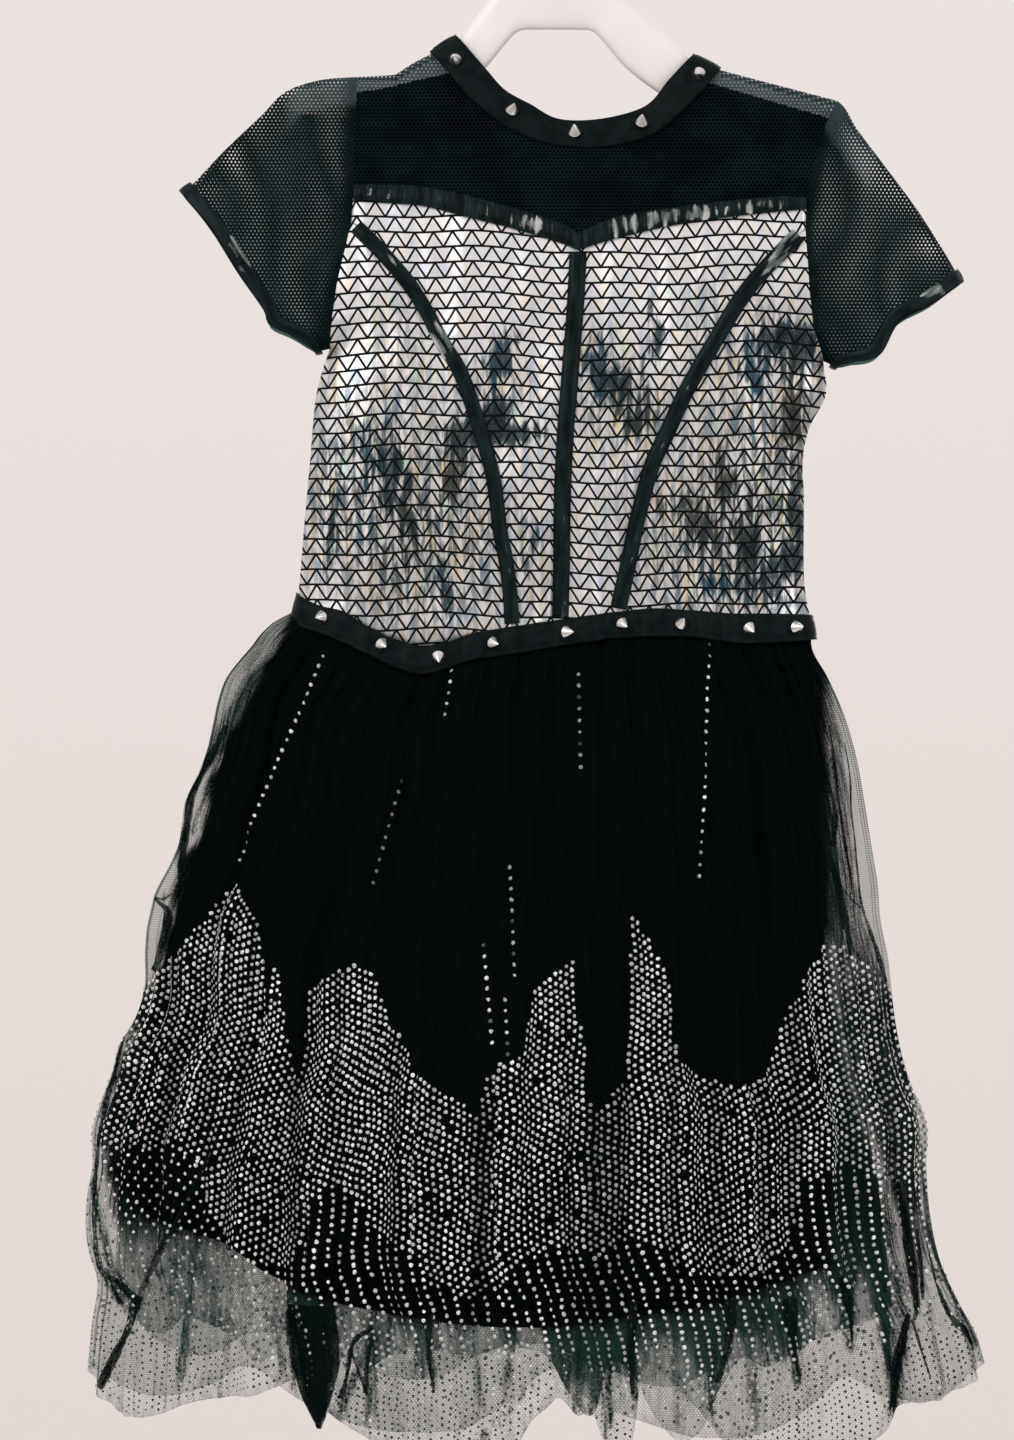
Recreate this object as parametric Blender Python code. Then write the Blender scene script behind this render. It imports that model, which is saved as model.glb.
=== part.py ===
# Party dress of black mesh, foil cloth and dotted tulle, hanging on its plastic hanger.
# The tables are in millimetres. The front faces -Y, and the hook bears at the origin.

import math

import bpy
import numpy as np
from mathutils import Vector

MM = 0.001

CLOTH = 1.2
NET = 1.0
GAP = 0.3
HALF_GAP = GAP / 2
# Room between a panel and what lies on it or under it.
LAID_GAP = 0.7
SEAM_ROOM = 0.7
SIDE_SEAM_GAP = 0.44

# The fold over a closed edge is a small roll, then the garment fills out more slowly.
ROLL_DEPTH = 7.0
ROLL_WIDTH = 9.0
FILL_WIDTH = 60.0

# Closed edges of the upper part, seen from the front: x, z.
SHOULDER_LEFT = ((-68.0, -99.4), (-76.6, -105.0), (-85.1, -110.6), (-97.0, -116.6), (-108.9, -124.5),
                 (-134.0, -125.8))
SHOULDER_RIGHT = ((87.1, -112.0), (96.4, -116.6), (105.6, -121.2), (135.3, -129.1), (158.4, -135.1),
                  (183.5, -141.7))
SLEEVE_TOP_LEFT = ((-134.0, -125.8), (-158.4, -127.8), (-181.5, -135.7), (-196.7, -150.9), (-221.1, -174.0),
                   (-240.9, -195.1), (-250.1, -202.4))
SLEEVE_TOP_RIGHT = ((183.5, -141.7), (189.0, -147.6), (196.0, -160.1), (213.8, -183.9), (236.3, -214.3),
                    (256.7, -246.6), (264.7, -261.8))
UNDERARM_LEFT = ((-161.0, -307.3), (-151.8, -305.3))
UNDERARM_RIGHT = ((182.2, -317.2), (173.6, -313.3))
SIDE_LEFT = ((-151.8, -305.3), (-157.1, -320.5), (-161.7, -341.0), (-165.0, -379.3), (-168.3, -414.9),
             (-172.3, -463.1), (-174.9, -476.9), (-177.5, -487.5))
SIDE_RIGHT = ((173.6, -313.3), (175.6, -335.7), (165.0, -356.0), (160.2, -378.0), (161.0, -404.3),
              (161.0, -456.5), (165.0, -482.0), (167.6, -497.4))

# Open edges of the sleeves and the armhole seams, from the shoulder down: x, z.
SLEEVE_HEM_LEFT = ((-250.1, -202.4), (-230.3, -226.8), (-212.5, -255.2), (-195.4, -280.3), (-191.4, -290.8),
                   (-178.9, -296.8), (-161.0, -307.3))
SLEEVE_HEM_RIGHT = ((264.7, -261.8), (244.2, -277.0), (222.4, -289.5), (209.9, -310.6), (192.1, -315.2),
                    (182.2, -317.2))
ARMHOLE_LEFT = ((-134.0, -125.8), (-134.0, -127.2), (-134.0, -129.8), (-134.0, -133.0), (-134.0, -137.0),
                (-134.9, -155.0), (-136.0, -178.0), (-136.0, -203.7), (-137.3, -223.5), (-141.2, -240.0),
                (-146.5, -262.4), (-149.8, -284.9), (-150.9, -296.4), (-151.5, -302.0), (-151.8, -305.3))
ARMHOLE_RIGHT = ((183.5, -141.7), (182.7, -143.1), (181.2, -145.8), (179.3, -149.2), (176.9, -153.5),
                 (171.5, -170.0), (166.0, -190.0), (161.7, -211.0), (161.0, -228.1), (162.4, -247.9),
                 (163.7, -269.7), (166.3, -292.8), (170.2, -304.6), (172.3, -310.0), (173.6, -313.3))
SEAM_ROW = 4
YOKE_ROW = 7
PRINCESS_ROW = 8
# Distances in from a closed edge at which a sheet that turns round it has points.
TURN_STEPS = (0.0, 1.4, 4.0, 7.2, 11.0, 20.0, 40.0)

# Neck band, from the left shoulder to the right one: inner edge x, z, then outer edge x, z.
NECK = (
    (-68.0, -99.4, -85.1, -110.6),
    (-58.0, -111.0, -75.0, -122.0),
    (-48.2, -122.5, -61.5, -139.0),
    (-36.3, -135.7, -41.0, -156.5),
    (-19.8, -145.0, -18.0, -168.0),
    (-1.3, -154.8, 6.0, -173.3),
    (26.4, -154.9, 33.0, -172.7),
    (56.1, -146.3, 62.0, -164.5),
    (71.3, -129.1, 84.0, -146.0),
    (79.5, -120.0, 96.0, -133.5),
    (87.1, -112.0, 105.6, -121.2),
)

# The shoulder seams lie forward of the shoulder line: x, z.
SHOULDER_SEAM_LEFT = ((-134.0, -137.0), (-115.5, -133.7), (-92.4, -128.2), (-74.6, -124.5), (-62.5, -121.5))
SHOULDER_SEAM_RIGHT = ((87.0, -127.5), (103.0, -131.8), (125.4, -138.4), (151.8, -146.3), (176.9, -153.5))

# Trim along the top of the foil cloth: x, upper z, lower z.
TRIM_LEFT = ((-136.0, -198.6, -208.8), (-112.9, -198.6, -210.8), (-89.0, -200.0, -212.8),
             (-62.4, -205.4, -219.8), (-34.3, -212.9, -226.8), (-0.7, -223.5, -236.9), (11.5, -230.8, -242.0))
TRIM_RIGHT = ((11.5, -230.8, -242.0), (27.0, -223.2, -237.0), (44.2, -218.2, -232.4), (74.6, -213.6, -225.5),
              (108.0, -209.4, -220.4), (143.0, -206.3, -216.5), (161.7, -207.0, -215.0))

# Seam lines of the bodice front, from the top down: x, z.
PRINCESS_LEFT = ((-137.3, -223.5), (-130.0, -229.4), (-115.5, -245.3), (-100.3, -263.1), (-87.8, -282.2),
                 (-79.2, -299.4), (-66.7, -319.9), (-58.7, -341.0), (-50.2, -368.7), (-43.6, -393.8),
                 (-39.6, -425.5), (-35.6, -446.6), (-33.0, -467.7), (-31.0, -498.0))
PRINCESS_RIGHT = ((161.0, -228.1), (146.5, -240.0), (134.0, -254.5), (117.5, -275.0), (104.3, -296.8),
                  (91.7, -317.9), (81.2, -337.0), (70.6, -360.1), (60.1, -383.2), (54.1, -404.3),
                  (48.8, -425.5), (44.9, -445.9), (40.3, -467.0), (36.4, -488.0))
CENTRE = ((11.5, -236.4), (9.9, -278.3), (6.6, -319.9), (3.3, -362.1), (1.3, -404.3), (0.7, -446.6),
          (-0.9, -492.8))
STRIP_LEFT_WIDTH = 9.9
STRIP_CENTRE_WIDTH = 11.2
STRIP_RIGHT_WIDTH = 10.6

# Waistband on the front: x, upper z, lower z. The skirt is seamed on half way down.
WAIST_FRONT = (
    (-176.0, -467.0, -487.5),
    (-159.0, -474.6, -493.0),
    (-139.0, -480.0, -501.0),
    (-121.0, -492.0, -509.8),
    (-102.0, -499.4, -519.0),
    (-87.5, -502.0, -520.4),
    (-74.0, -498.8, -516.6),
    (-63.0, -494.0, -511.0),
    (-35.0, -489.3, -507.8),
    (0.0, -484.2, -501.6),
    (33.0, -479.5, -496.8),
    (60.0, -476.5, -495.4),
    (88.0, -478.2, -495.6),
    (113.0, -480.4, -499.8),
    (140.0, -480.2, -499.8),
    (167.0, -481.2, -497.4),
)
WAIST_BACK = (
    (-176.0, -467.0, -487.5),
    (-60.0, -473.0, -491.5),
    (60.0, -478.0, -495.5),
    (167.0, -481.2, -497.4),
)

# Depth of the upper part: z, front, back.
BODY_DEPTH = (
    (-95.0, 8.5, 8.0),
    (-130.0, 10.0, 9.5),
    (-170.0, 13.0, 11.0),
    (-210.0, 17.0, 13.5),
    (-260.0, 22.0, 16.0),
    (-310.0, 25.0, 18.0),
    (-380.0, 25.5, 18.5),
    (-440.0, 23.5, 18.0),
    (-480.0, 22.0, 17.5),
    (-530.0, 22.0, 17.5),
)

# Largest soft folds of the upper part: side, x and z of each end, half width, height.
BODY_FOLDS = (
    (-1, -112.0, -150.0, -98.0, -186.0, 18.0, -1.2),
    (-1, 100.0, -150.0, 124.0, -186.0, 18.0, 1.3),
    (-1, -128.0, -330.0, -120.0, -440.0, 22.0, 1.7),
    (-1, -90.0, -290.0, -84.0, -450.0, 20.0, -1.8),
    (-1, -14.0, -300.0, -46.0, -372.0, 20.0, -2.2),
    (-1, 30.0, -300.0, 46.0, -372.0, 18.0, -1.6),
    (-1, 98.0, -370.0, 104.0, -450.0, 20.0, -2.0),
    (-1, 136.0, -290.0, 130.0, -420.0, 18.0, -2.0),
    (1, -90.0, -240.0, -76.0, -440.0, 24.0, -2.0),
    (1, 12.0, -220.0, 4.0, -440.0, 24.0, 1.8),
    (1, 102.0, -250.0, 92.0, -440.0, 24.0, -2.0),
    (-1, -205.0, -190.0, -176.0, -256.0, 20.0, -2.2),
    (-1, 226.0, -232.0, 200.0, -280.0, 18.0, -2.0),
    (1, -200.0, -190.0, -174.0, -252.0, 20.0, -2.0),
    (1, 222.0, -232.0, 198.0, -278.0, 18.0, -1.8),
)

# Skirt layers at their drop below the waist seam: drop, left x, right x, front depth, back depth.
OUTER_ROWS = (
    (0.0, -174.9, 165.7, 22.0, 17.5),
    (11.0, -177.4, 167.4, 22.4, 18.0),
    (20.0, -196.0, 171.6, 27.0, 22.0),
    (44.0, -219.0, 180.0, 34.0, 27.0),
    (67.0, -226.0, 188.8, 40.0, 30.0),
    (127.0, -246.0, 202.0, 52.0, 35.0),
    (187.0, -266.5, 211.0, 60.0, 40.0),
    (257.0, -278.5, 220.4, 67.0, 45.0),
    (320.0, -301.0, 234.0, 73.0, 48.0),
    (385.0, -310.5, 243.5, 79.0, 52.0),
    (441.0, -306.0, 258.0, 83.0, 55.0),
    (500.0, -309.5, 281.0, 87.0, 58.0),
    (560.0, -311.0, 284.0, 90.0, 60.0),
)
INNER_ROWS = (
    (0.0, -174.9, 165.7, 22.0, 17.5),
    (14.0, -175.4, 166.0, 22.0, 17.6),
    (44.0, -204.0, 170.0, 28.5, 22.0),
    (95.0, -221.0, 174.0, 38.0, 25.0),
    (162.0, -242.0, 179.0, 47.0, 28.0),
    (226.0, -258.0, 185.0, 53.0, 31.0),
    (291.0, -277.0, 195.0, 59.0, 34.0),
    (348.0, -289.0, 205.0, 63.0, 36.0),
    (420.0, -292.0, 215.0, 68.0, 39.0),
    (520.0, -293.0, 224.0, 73.0, 42.0),
)
LINING_ROWS = (
    (0.0, -174.9, 165.7, 22.0, 17.5),
    (16.0, -175.0, 165.8, 22.0, 17.5),
    (44.0, -196.0, 167.5, 25.0, 18.6),
    (95.0, -212.0, 168.5, 32.0, 19.5),
    (162.0, -232.0, 170.0, 39.0, 21.0),
    (226.0, -249.0, 172.0, 44.0, 23.0),
    (291.0, -267.0, 175.0, 48.0, 25.0),
    (348.0, -280.0, 176.5, 51.0, 27.0),
    (430.0, -283.0, 178.0, 55.0, 29.0),
)
OUTER_WAVE = 8.5
INNER_WAVE = 5.5
LINING_WAVE = 2.5
# Rings of each layer: drops near the waist, then shares of what is left.
NEAR_DROPS = (0.0, 11.0, 22.0, 46.0)
OUTER_STEPS = (0.12, 0.3, 0.52, 0.76, 1.0)
INNER_STEPS = (0.3, 0.64, 1.0)
LINING_STEPS = (0.45, 1.0)

# Folds of the skirt, right round from the back: width in degrees, crest height, trough depth.
SKIRT_FOLDS = (
    (14.0, 0.8, 0.7), (12.0, 0.6, 0.9), (15.0, 1.0, 0.6), (13.0, 0.5, 0.8), (12.0, 0.9, 0.9),
    (14.0, 0.7, 0.5), (12.0, 1.0, 0.8), (10.0, 0.6, 0.7), (11.0, 1.0, 0.6), (12.0, 0.5, 1.0),
    (13.0, 0.9, 0.7), (10.0, 0.7, 0.9), (14.0, 1.0, 1.0), (11.0, 0.6, 0.6), (13.0, 0.9, 0.8),
    (12.0, 0.8, 1.0), (11.0, 1.0, 0.7), (14.0, 0.6, 0.9), (12.0, 0.9, 0.8), (13.0, 0.7, 1.0),
    (11.0, 1.0, 0.6), (14.0, 0.8, 0.9), (12.0, 0.6, 0.8), (11.0, 1.0, 1.0), (14.0, 0.7, 0.6),
    (12.0, 0.9, 0.8), (15.0, 0.6, 0.7), (13.0, 1.0, 0.9),
)

# Lower edges of the skirt layers: x, z.
OUTER_HEM_FRONT = (
    (-311.0, -976.0), (-303.0, -990.4), (-277.0, -1005.6), (-240.9, -994.4), (-198.0, -987.8),
    (-176.0, -979.0), (-166.0, -938.0), (-152.0, -934.0), (-143.0, -990.0), (-118.8, -1023.4),
    (-72.6, -1039.9), (-28.4, -1024.0), (-14.0, -1000.0), (2.0, -988.0), (16.0, -1002.0),
    (37.0, -1024.1), (50.0, -990.0), (74.0, -981.0), (92.4, -1002.3), (118.8, -1028.7),
    (158.4, -1036.0), (192.7, -1023.4), (212.0, -1006.0), (241.6, -993.1), (266.0, -985.8),
    (282.0, -976.0),
)
OUTER_HEM_BACK = (
    (-311.0, -976.0), (-262.0, -1000.0), (-205.0, -986.0), (-140.0, -1020.0), (-70.0, -1028.0),
    (-5.0, -990.0), (60.0, -1020.0), (130.0, -1030.0), (190.0, -992.0), (240.0, -1004.0),
    (282.0, -976.0),
)
INNER_HEM_FRONT = (
    (-298.0, -950.0), (-262.0, -972.0), (-215.0, -980.0), (-176.0, -962.0), (-157.0, -1004.0),
    (-138.0, -962.0), (-92.0, -956.0), (-40.0, -960.0), (4.0, -990.0), (24.0, -996.0),
    (44.0, -960.0), (62.0, -1004.0), (81.0, -1019.0), (98.0, -996.0), (120.0, -966.0),
    (152.0, -978.0), (190.0, -956.0), (224.0, -936.0),
)
INNER_HEM_BACK = (
    (-298.0, -950.0), (-240.0, -978.0), (-170.0, -962.0), (-90.0, -992.0), (-10.0, -966.0),
    (80.0, -996.0), (150.0, -968.0), (224.0, -936.0),
)
LINING_HEM_FRONT = (
    (-288.0, -872.0), (-251.0, -887.0), (-223.0, -896.0), (-181.0, -920.0), (-120.0, -938.0),
    (-10.0, -950.0), (60.0, -942.0), (115.0, -930.0), (178.0, -914.0),
)
LINING_HEM_BACK = ((-288.0, -872.0), (-200.0, -910.0), (0.0, -936.0), (178.0, -914.0))

# Hanger, from end to end: x, top z, bottom z, half depth.
HANGER = (
    (-180.6, -141.6, -145.6, 2.0),
    (-177.5, -139.0, -148.2, 3.2),
    (-170.0, -135.4, -150.4, 3.8),
    (-158.4, -131.6, -151.8, 4.2),
    (-134.0, -129.4, -152.9, 4.2),
    (-110.0, -128.6, -153.6, 4.2),
    (-97.0, -121.2, -153.2, 4.2),
    (-85.1, -115.0, -150.4, 4.2),
    (-76.0, -109.4, -145.4, 4.2),
    (-68.0, -102.6, -139.0, 4.6),
    (-58.0, -89.0, -129.4, 5.6),
    (-46.9, -75.0, -117.6, 6.0),
    (-36.0, -61.5, -104.2, 6.0),
    (-27.0, -53.0, -95.5, 6.0),
    (-13.0, -46.8, -94.6, 6.0),
    (0.0, -45.0, -94.6, 6.0),
    (13.0, -48.0, -94.8, 6.0),
    (22.0, -55.0, -96.0, 6.0),
    (31.0, -64.0, -105.6, 6.0),
    (42.2, -75.0, -118.8, 6.0),
    (58.0, -88.5, -131.6, 6.0),
    (76.0, -104.0, -143.4, 5.4),
    (87.0, -115.4, -148.8, 4.4),
    (96.0, -120.6, -151.8, 4.2),
    (105.6, -125.2, -154.4, 4.2),
    (135.3, -133.0, -159.4, 4.2),
    (158.4, -139.0, -161.4, 4.2),
    (172.0, -143.4, -160.4, 3.8),
    (177.0, -147.2, -158.6, 3.0),
    (179.4, -150.2, -156.0, 2.0),
)
HOOK_INNER_RADIUS = 20.0
HOOK_HALF_WIDTH = 3.2
HOOK_END = 206.0
STEM_FOOT = -62.0

# Cone studs: base radius, tip radius, height, and each one's x, z and tilt sideways and up.
STUD = (4.65, 0.5, 7.2)
COLLAR_STUDS = ((-69.0, -115.0, -4.0, 6.0), (-31.7, -149.0, 8.0, 20.0), (9.5, -164.0, 0.0, 26.0),
                (53.5, -157.5, 4.0, 26.0), (91.0, -125.5, -3.0, -8.0))
WAIST_STUDS = ((-156.5, -483.0, 4.0, -10.0), (-116.5, -501.2, -12.0, 10.0), (-80.0, -509.0, -6.0, -14.0),
               (-44.0, -500.0, 3.0, -12.0), (4.0, -492.6, 24.0, 6.0), (41.0, -487.4, -4.0, 16.0),
               (80.0, -486.6, 22.0, 18.0), (123.0, -490.4, 10.0, -20.0), (152.0, -489.6, 8.0, 4.0))


def clear_scene():
    for item in list(bpy.data.objects):
        bpy.data.objects.remove(item, do_unlink=True)


def make_collection(name):
    group = bpy.data.collections.new(name)
    bpy.context.scene.collection.children.link(group)
    return group


def make_material(name, colour, roughness, metallic):
    material = bpy.data.materials.new(name)
    material.use_nodes = True
    shader = material.node_tree.nodes["Principled BSDF"]
    shader.inputs["Base Color"].default_value = (*colour, 1.0)
    shader.inputs["Roughness"].default_value = roughness
    shader.inputs["Metallic"].default_value = metallic
    material.diffuse_color = (*colour, 1.0)
    return material


def points(rows):
    return np.array(rows, dtype=float)


def column(rows, key, key_column, value_column):
    table = points(rows)
    order = np.argsort(table[:, key_column])
    return np.interp(key, table[order, key_column], table[order, value_column])


def cut(curve, count):
    """The curve as count equal steps along its length."""
    curve = points(curve)
    lengths = np.concatenate([[0.0], np.cumsum(np.linalg.norm(np.diff(curve, axis=0), axis=1))])
    places = np.linspace(0.0, lengths[-1], count + 1)
    return np.stack([np.interp(places, lengths, curve[:, axis]) for axis in range(2)], axis=1)


def chain(*curves):
    """Curves end to end, without the doubled end points."""
    return np.concatenate([points(curves[0])] + [points(curve)[1:] for curve in curves[1:]])


def patch(top, bottom, left, right):
    """A grid of x, z between four edges, with as many points as the edges have."""
    top, bottom, left, right = points(top), points(bottom), points(left), points(right)
    u = np.linspace(0.0, 1.0, len(top))[None, :, None]
    v = np.linspace(0.0, 1.0, len(left))[:, None, None]
    across = (1 - v) * top[None] + v * bottom[None]
    down = (1 - u) * left[:, None] + u * right[:, None]
    corners = (1 - v) * ((1 - u) * top[0] + u * top[-1]) + v * ((1 - u) * bottom[0] + u * bottom[-1])
    return across + down - corners


def pull_in(grid, top=0.0, bottom=0.0, left=0.0, right=0.0):
    """The grid with its edges drawn in, each by a length or a length for each of its points."""
    grid = grid.copy()

    def drawn(edge, inner, amount):
        step = inner - edge
        size = np.maximum(np.linalg.norm(step, axis=-1, keepdims=True), 1e-9)
        return edge + step / size * np.minimum(np.reshape(amount, (-1, 1)), size * 0.4)

    before = grid.copy()
    grid[0] = drawn(before[0], before[1], top)
    grid[-1] = drawn(before[-1], before[-2], bottom)
    grid[:, 0] += drawn(before[:, 0], before[:, 1], left) - before[:, 0]
    grid[:, -1] += drawn(before[:, -1], before[:, -2], right) - before[:, -1]
    return grid


def segments_of(curves):
    """Starts, ends and inward directions of the closed edges, whose cloth lies on their left."""
    starts = np.concatenate([points(curve)[:-1] for curve in curves])
    ends = np.concatenate([points(curve)[1:] for curve in curves])
    along = ends - starts
    inward = np.stack([-along[:, 1], along[:, 0]], axis=1)
    return starts, ends, inward / np.linalg.norm(inward, axis=1, keepdims=True)


CLOSED = segments_of((
    chain(SHOULDER_LEFT, SLEEVE_TOP_LEFT),
    chain(UNDERARM_LEFT, SIDE_LEFT),
    chain(SHOULDER_RIGHT, SLEEVE_TOP_RIGHT)[::-1],
    chain(UNDERARM_RIGHT, SIDE_RIGHT)[::-1],
))


def edge_distance(grid):
    """Each point's distance from the nearest closed edge, and the direction away from it."""
    starts, ends, inward = CLOSED
    flat = grid.reshape(-1, 1, 2)
    along = ends - starts
    share = np.clip(((flat - starts) * along).sum(-1) / (along**2).sum(-1), 0.0, 1.0)
    away = flat - (starts + share[..., None] * along)
    length = np.linalg.norm(away, axis=-1)
    nearest = length.argmin(axis=1)
    rows = np.arange(len(flat))
    distance = length[rows, nearest]
    direction = away[rows, nearest] / np.maximum(distance, 1e-9)[:, None]
    touching = length <= distance[:, None] + 1e-3
    on_edge = (touching[..., None] * inward[None]).sum(axis=1)
    on_edge /= np.maximum(np.linalg.norm(on_edge, axis=1, keepdims=True), 1e-9)
    direction = np.where(distance[:, None] < 0.05, on_edge, direction)
    return distance.reshape(grid.shape[:-1]), direction.reshape(grid.shape)


def rounded(share):
    share = np.clip(share, 0.0, 1.0)
    return np.sqrt(1.0 - (1.0 - share) ** 2)


def body_folds(grid, side):
    """Height of the soft folds, side -1 for the front and 1 for the back."""
    total = np.zeros(grid.shape[:-1])
    for of_side, x1, z1, x2, z2, half_width, height in BODY_FOLDS:
        if of_side != side:
            continue
        start, along = np.array([x1, z1]), np.array([x2 - x1, z2 - z1])
        share = ((grid - start) @ along) / (along @ along)
        off = np.linalg.norm(grid - (start + np.clip(share, 0.0, 1.0)[..., None] * along), axis=-1)
        total += height * np.exp(-((off / half_width) ** 2))
    return total


def body_depth(grid, side):
    """Distance of the outer surface from the middle plane."""
    distance, _ = edge_distance(grid)
    full = column(BODY_DEPTH, grid[..., 1], 0, 1 if side < 0 else 2)
    roll = ROLL_DEPTH * rounded(distance / ROLL_WIDTH)
    fill = (full - ROLL_DEPTH) * rounded(distance / FILL_WIDTH)
    fade = rounded(distance / 25.0) * np.clip(distance / 25.0, 0.0, 1.0)
    return roll + fill + body_folds(grid, side) * fade


def on_body(grid, side, apart=HALF_GAP):
    """Points of the outer surface over a grid of x, z, and the outward directions there."""
    step = 0.04
    distance, direction = edge_distance(grid)
    depth = body_depth(grid, side)
    slope = np.zeros(grid.shape)
    for axis in range(2):
        shift = np.zeros(2)
        shift[axis] = step
        slope[..., axis] = (body_depth(grid + shift, side) - body_depth(grid - shift, side)) / (2 * step)
    outward = np.stack([-slope[..., 0], side * np.ones(depth.shape), -slope[..., 1]], axis=-1)
    flat_out = np.stack([-direction[..., 0], np.zeros(depth.shape), -direction[..., 1]], axis=-1)
    outward = np.where((distance < 0.05)[..., None], flat_out, outward)
    outward /= np.linalg.norm(outward, axis=-1, keepdims=True)
    place = np.stack([grid[..., 0], side * (apart + depth), grid[..., 1]], axis=-1)
    return place, outward


class Sheet:
    """An open surface put together from grids, then given a wall."""

    def __init__(self):
        self.index = {}
        self.outer = []
        self.inner = []
        self.faces = []

    def corner(self, outer, inner):
        key = tuple(np.round(outer, 4))
        if key not in self.index:
            self.index[key] = len(self.outer)
            self.outer.append(outer)
            self.inner.append(inner)
        return self.index[key]

    def add(self, outer, inner, flip=False):
        ids = [[self.corner(a, b) for a, b in zip(*pair)] for pair in zip(outer, inner)]
        for low, high in zip(ids, ids[1:]):
            for a, b, c, d in zip(low, low[1:], high[1:], high):
                face = list(dict.fromkeys((a, d, c, b) if flip else (a, b, c, d)))
                if len(face) > 2:
                    self.faces.append(face)

    def add_body(self, grid, side, lift, wall, apart=HALF_GAP):
        place, outward = on_body(grid, side, apart)
        self.add(place + lift * outward, place + (lift - wall) * outward, flip=side < 0)

    def halves(self, face):
        """Triangles of a face, cut the same way inside and outside so that the wall's two sides never cross."""
        if len(face) == 3:
            return [face]
        a, b, c, d = face
        first = np.linalg.norm(self.outer[a] - self.outer[c]) + np.linalg.norm(self.inner[a] - self.inner[c])
        second = np.linalg.norm(self.outer[b] - self.outer[d]) + np.linalg.norm(self.inner[b] - self.inner[d])
        return [[a, b, c], [a, c, d]] if first <= second else [[a, b, d], [b, c, d]]

    def solid(self, name, material, group):
        count = len(self.outer)
        halved = [half for face in self.faces for half in self.halves(face)]
        faces = list(halved)
        faces += [[corner + count for corner in reversed(half)] for half in halved]
        used = set()
        for face in self.faces:
            used.update(zip(face, face[1:] + face[:1]))
        for a, b in used:
            if (b, a) not in used:
                faces.append([b, a, a + count, b + count])
        return make_object(name, np.array(self.outer + self.inner), faces, material, group)


def make_object(name, places, faces, material, group, smooth=True):
    mesh = bpy.data.meshes.new(name)
    mesh.from_pydata([tuple(place * MM) for place in places], [], faces)
    mesh.validate()
    mesh.materials.append(material)
    item = bpy.data.objects.new(name, mesh)
    group.objects.link(item)
    for face in mesh.polygons:
        face.use_smooth = smooth
    return item


def body_piece(name, grid, side, lift, wall, material, group):
    sheet = Sheet()
    sheet.add_body(grid, side, lift, wall)
    return sheet.solid(name, material, group)


def band_grid(upper, lower, across):
    """A grid between two curves of equal count."""
    upper, lower = points(upper), points(lower)
    share = np.linspace(0.0, 1.0, across + 1)[:, None, None]
    return (1 - share) * upper[None] + share * lower[None]


def turned_ends(grid, between=11):
    """The grid with its columns placed anew, close together where its ends turn round a closed edge."""
    steps = np.array(TURN_STEPS)
    rows = []
    for row in grid:
        lengths = np.concatenate([[0.0], np.cumsum(np.linalg.norm(np.diff(row, axis=0), axis=1))])
        total = lengths[-1]
        middle = np.linspace(steps[-1], total - steps[-1], between)
        places = np.concatenate([steps[:-1], middle, total - steps[-2::-1]])
        rows.append([[np.interp(at, lengths, row[:, axis]) for axis in range(2)] for at in places])
    return np.array(rows)


def strip_grid(curve, width, count):
    """A strip of even width along a curve."""
    middle = cut(curve, count)
    along = np.gradient(middle, axis=0)
    along /= np.linalg.norm(along, axis=1, keepdims=True)
    across = np.stack([-along[:, 1], along[:, 0]], axis=1) * width / 2
    return np.stack([middle + across, middle, middle - across])


def part_of(curve, start, end):
    """The stretch of a curve between two shares of its length."""
    curve = points(curve)
    lengths = np.concatenate([[0.0], np.cumsum(np.linalg.norm(np.diff(curve, axis=0), axis=1))])
    lengths /= lengths[-1]
    keep = (lengths > start) & (lengths < end)
    ends = [np.array([np.interp(at, lengths, curve[:, axis]) for axis in range(2)]) for at in (start, end)]
    return np.concatenate([ends[:1], curve[keep], ends[1:]])


def trim_middle(rows):
    return [(x, (upper + lower) / 2) for x, upper, lower in rows]


def waist_line(x, rows, which):
    """Height of the waistband's upper edge, its lower edge or the seam between them."""
    upper, lower = column(rows, x, 0, 1), column(rows, x, 0, 2)
    return {"upper": upper, "lower": lower, "seam": (upper + lower) / 2}[which]


def waist_curve(start, end, rows, which, count):
    x = np.linspace(start, end, count + 1)
    return np.stack([x, waist_line(x, rows, which)], axis=1)


def side_x(side, z):
    return column(SIDE_LEFT if side < 0 else SIDE_RIGHT, z, 1, 0)


def snapped_waist(rows, which, count):
    """One edge of the waistband from side seam to side seam."""
    curve = waist_curve(rows[0][0], rows[-1][0], rows, which, count)
    curve[0] = (side_x(-1, curve[0, 1]), curve[0, 1])
    curve[-1] = (side_x(1, curve[-1, 1]), curve[-1, 1])
    return curve


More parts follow.
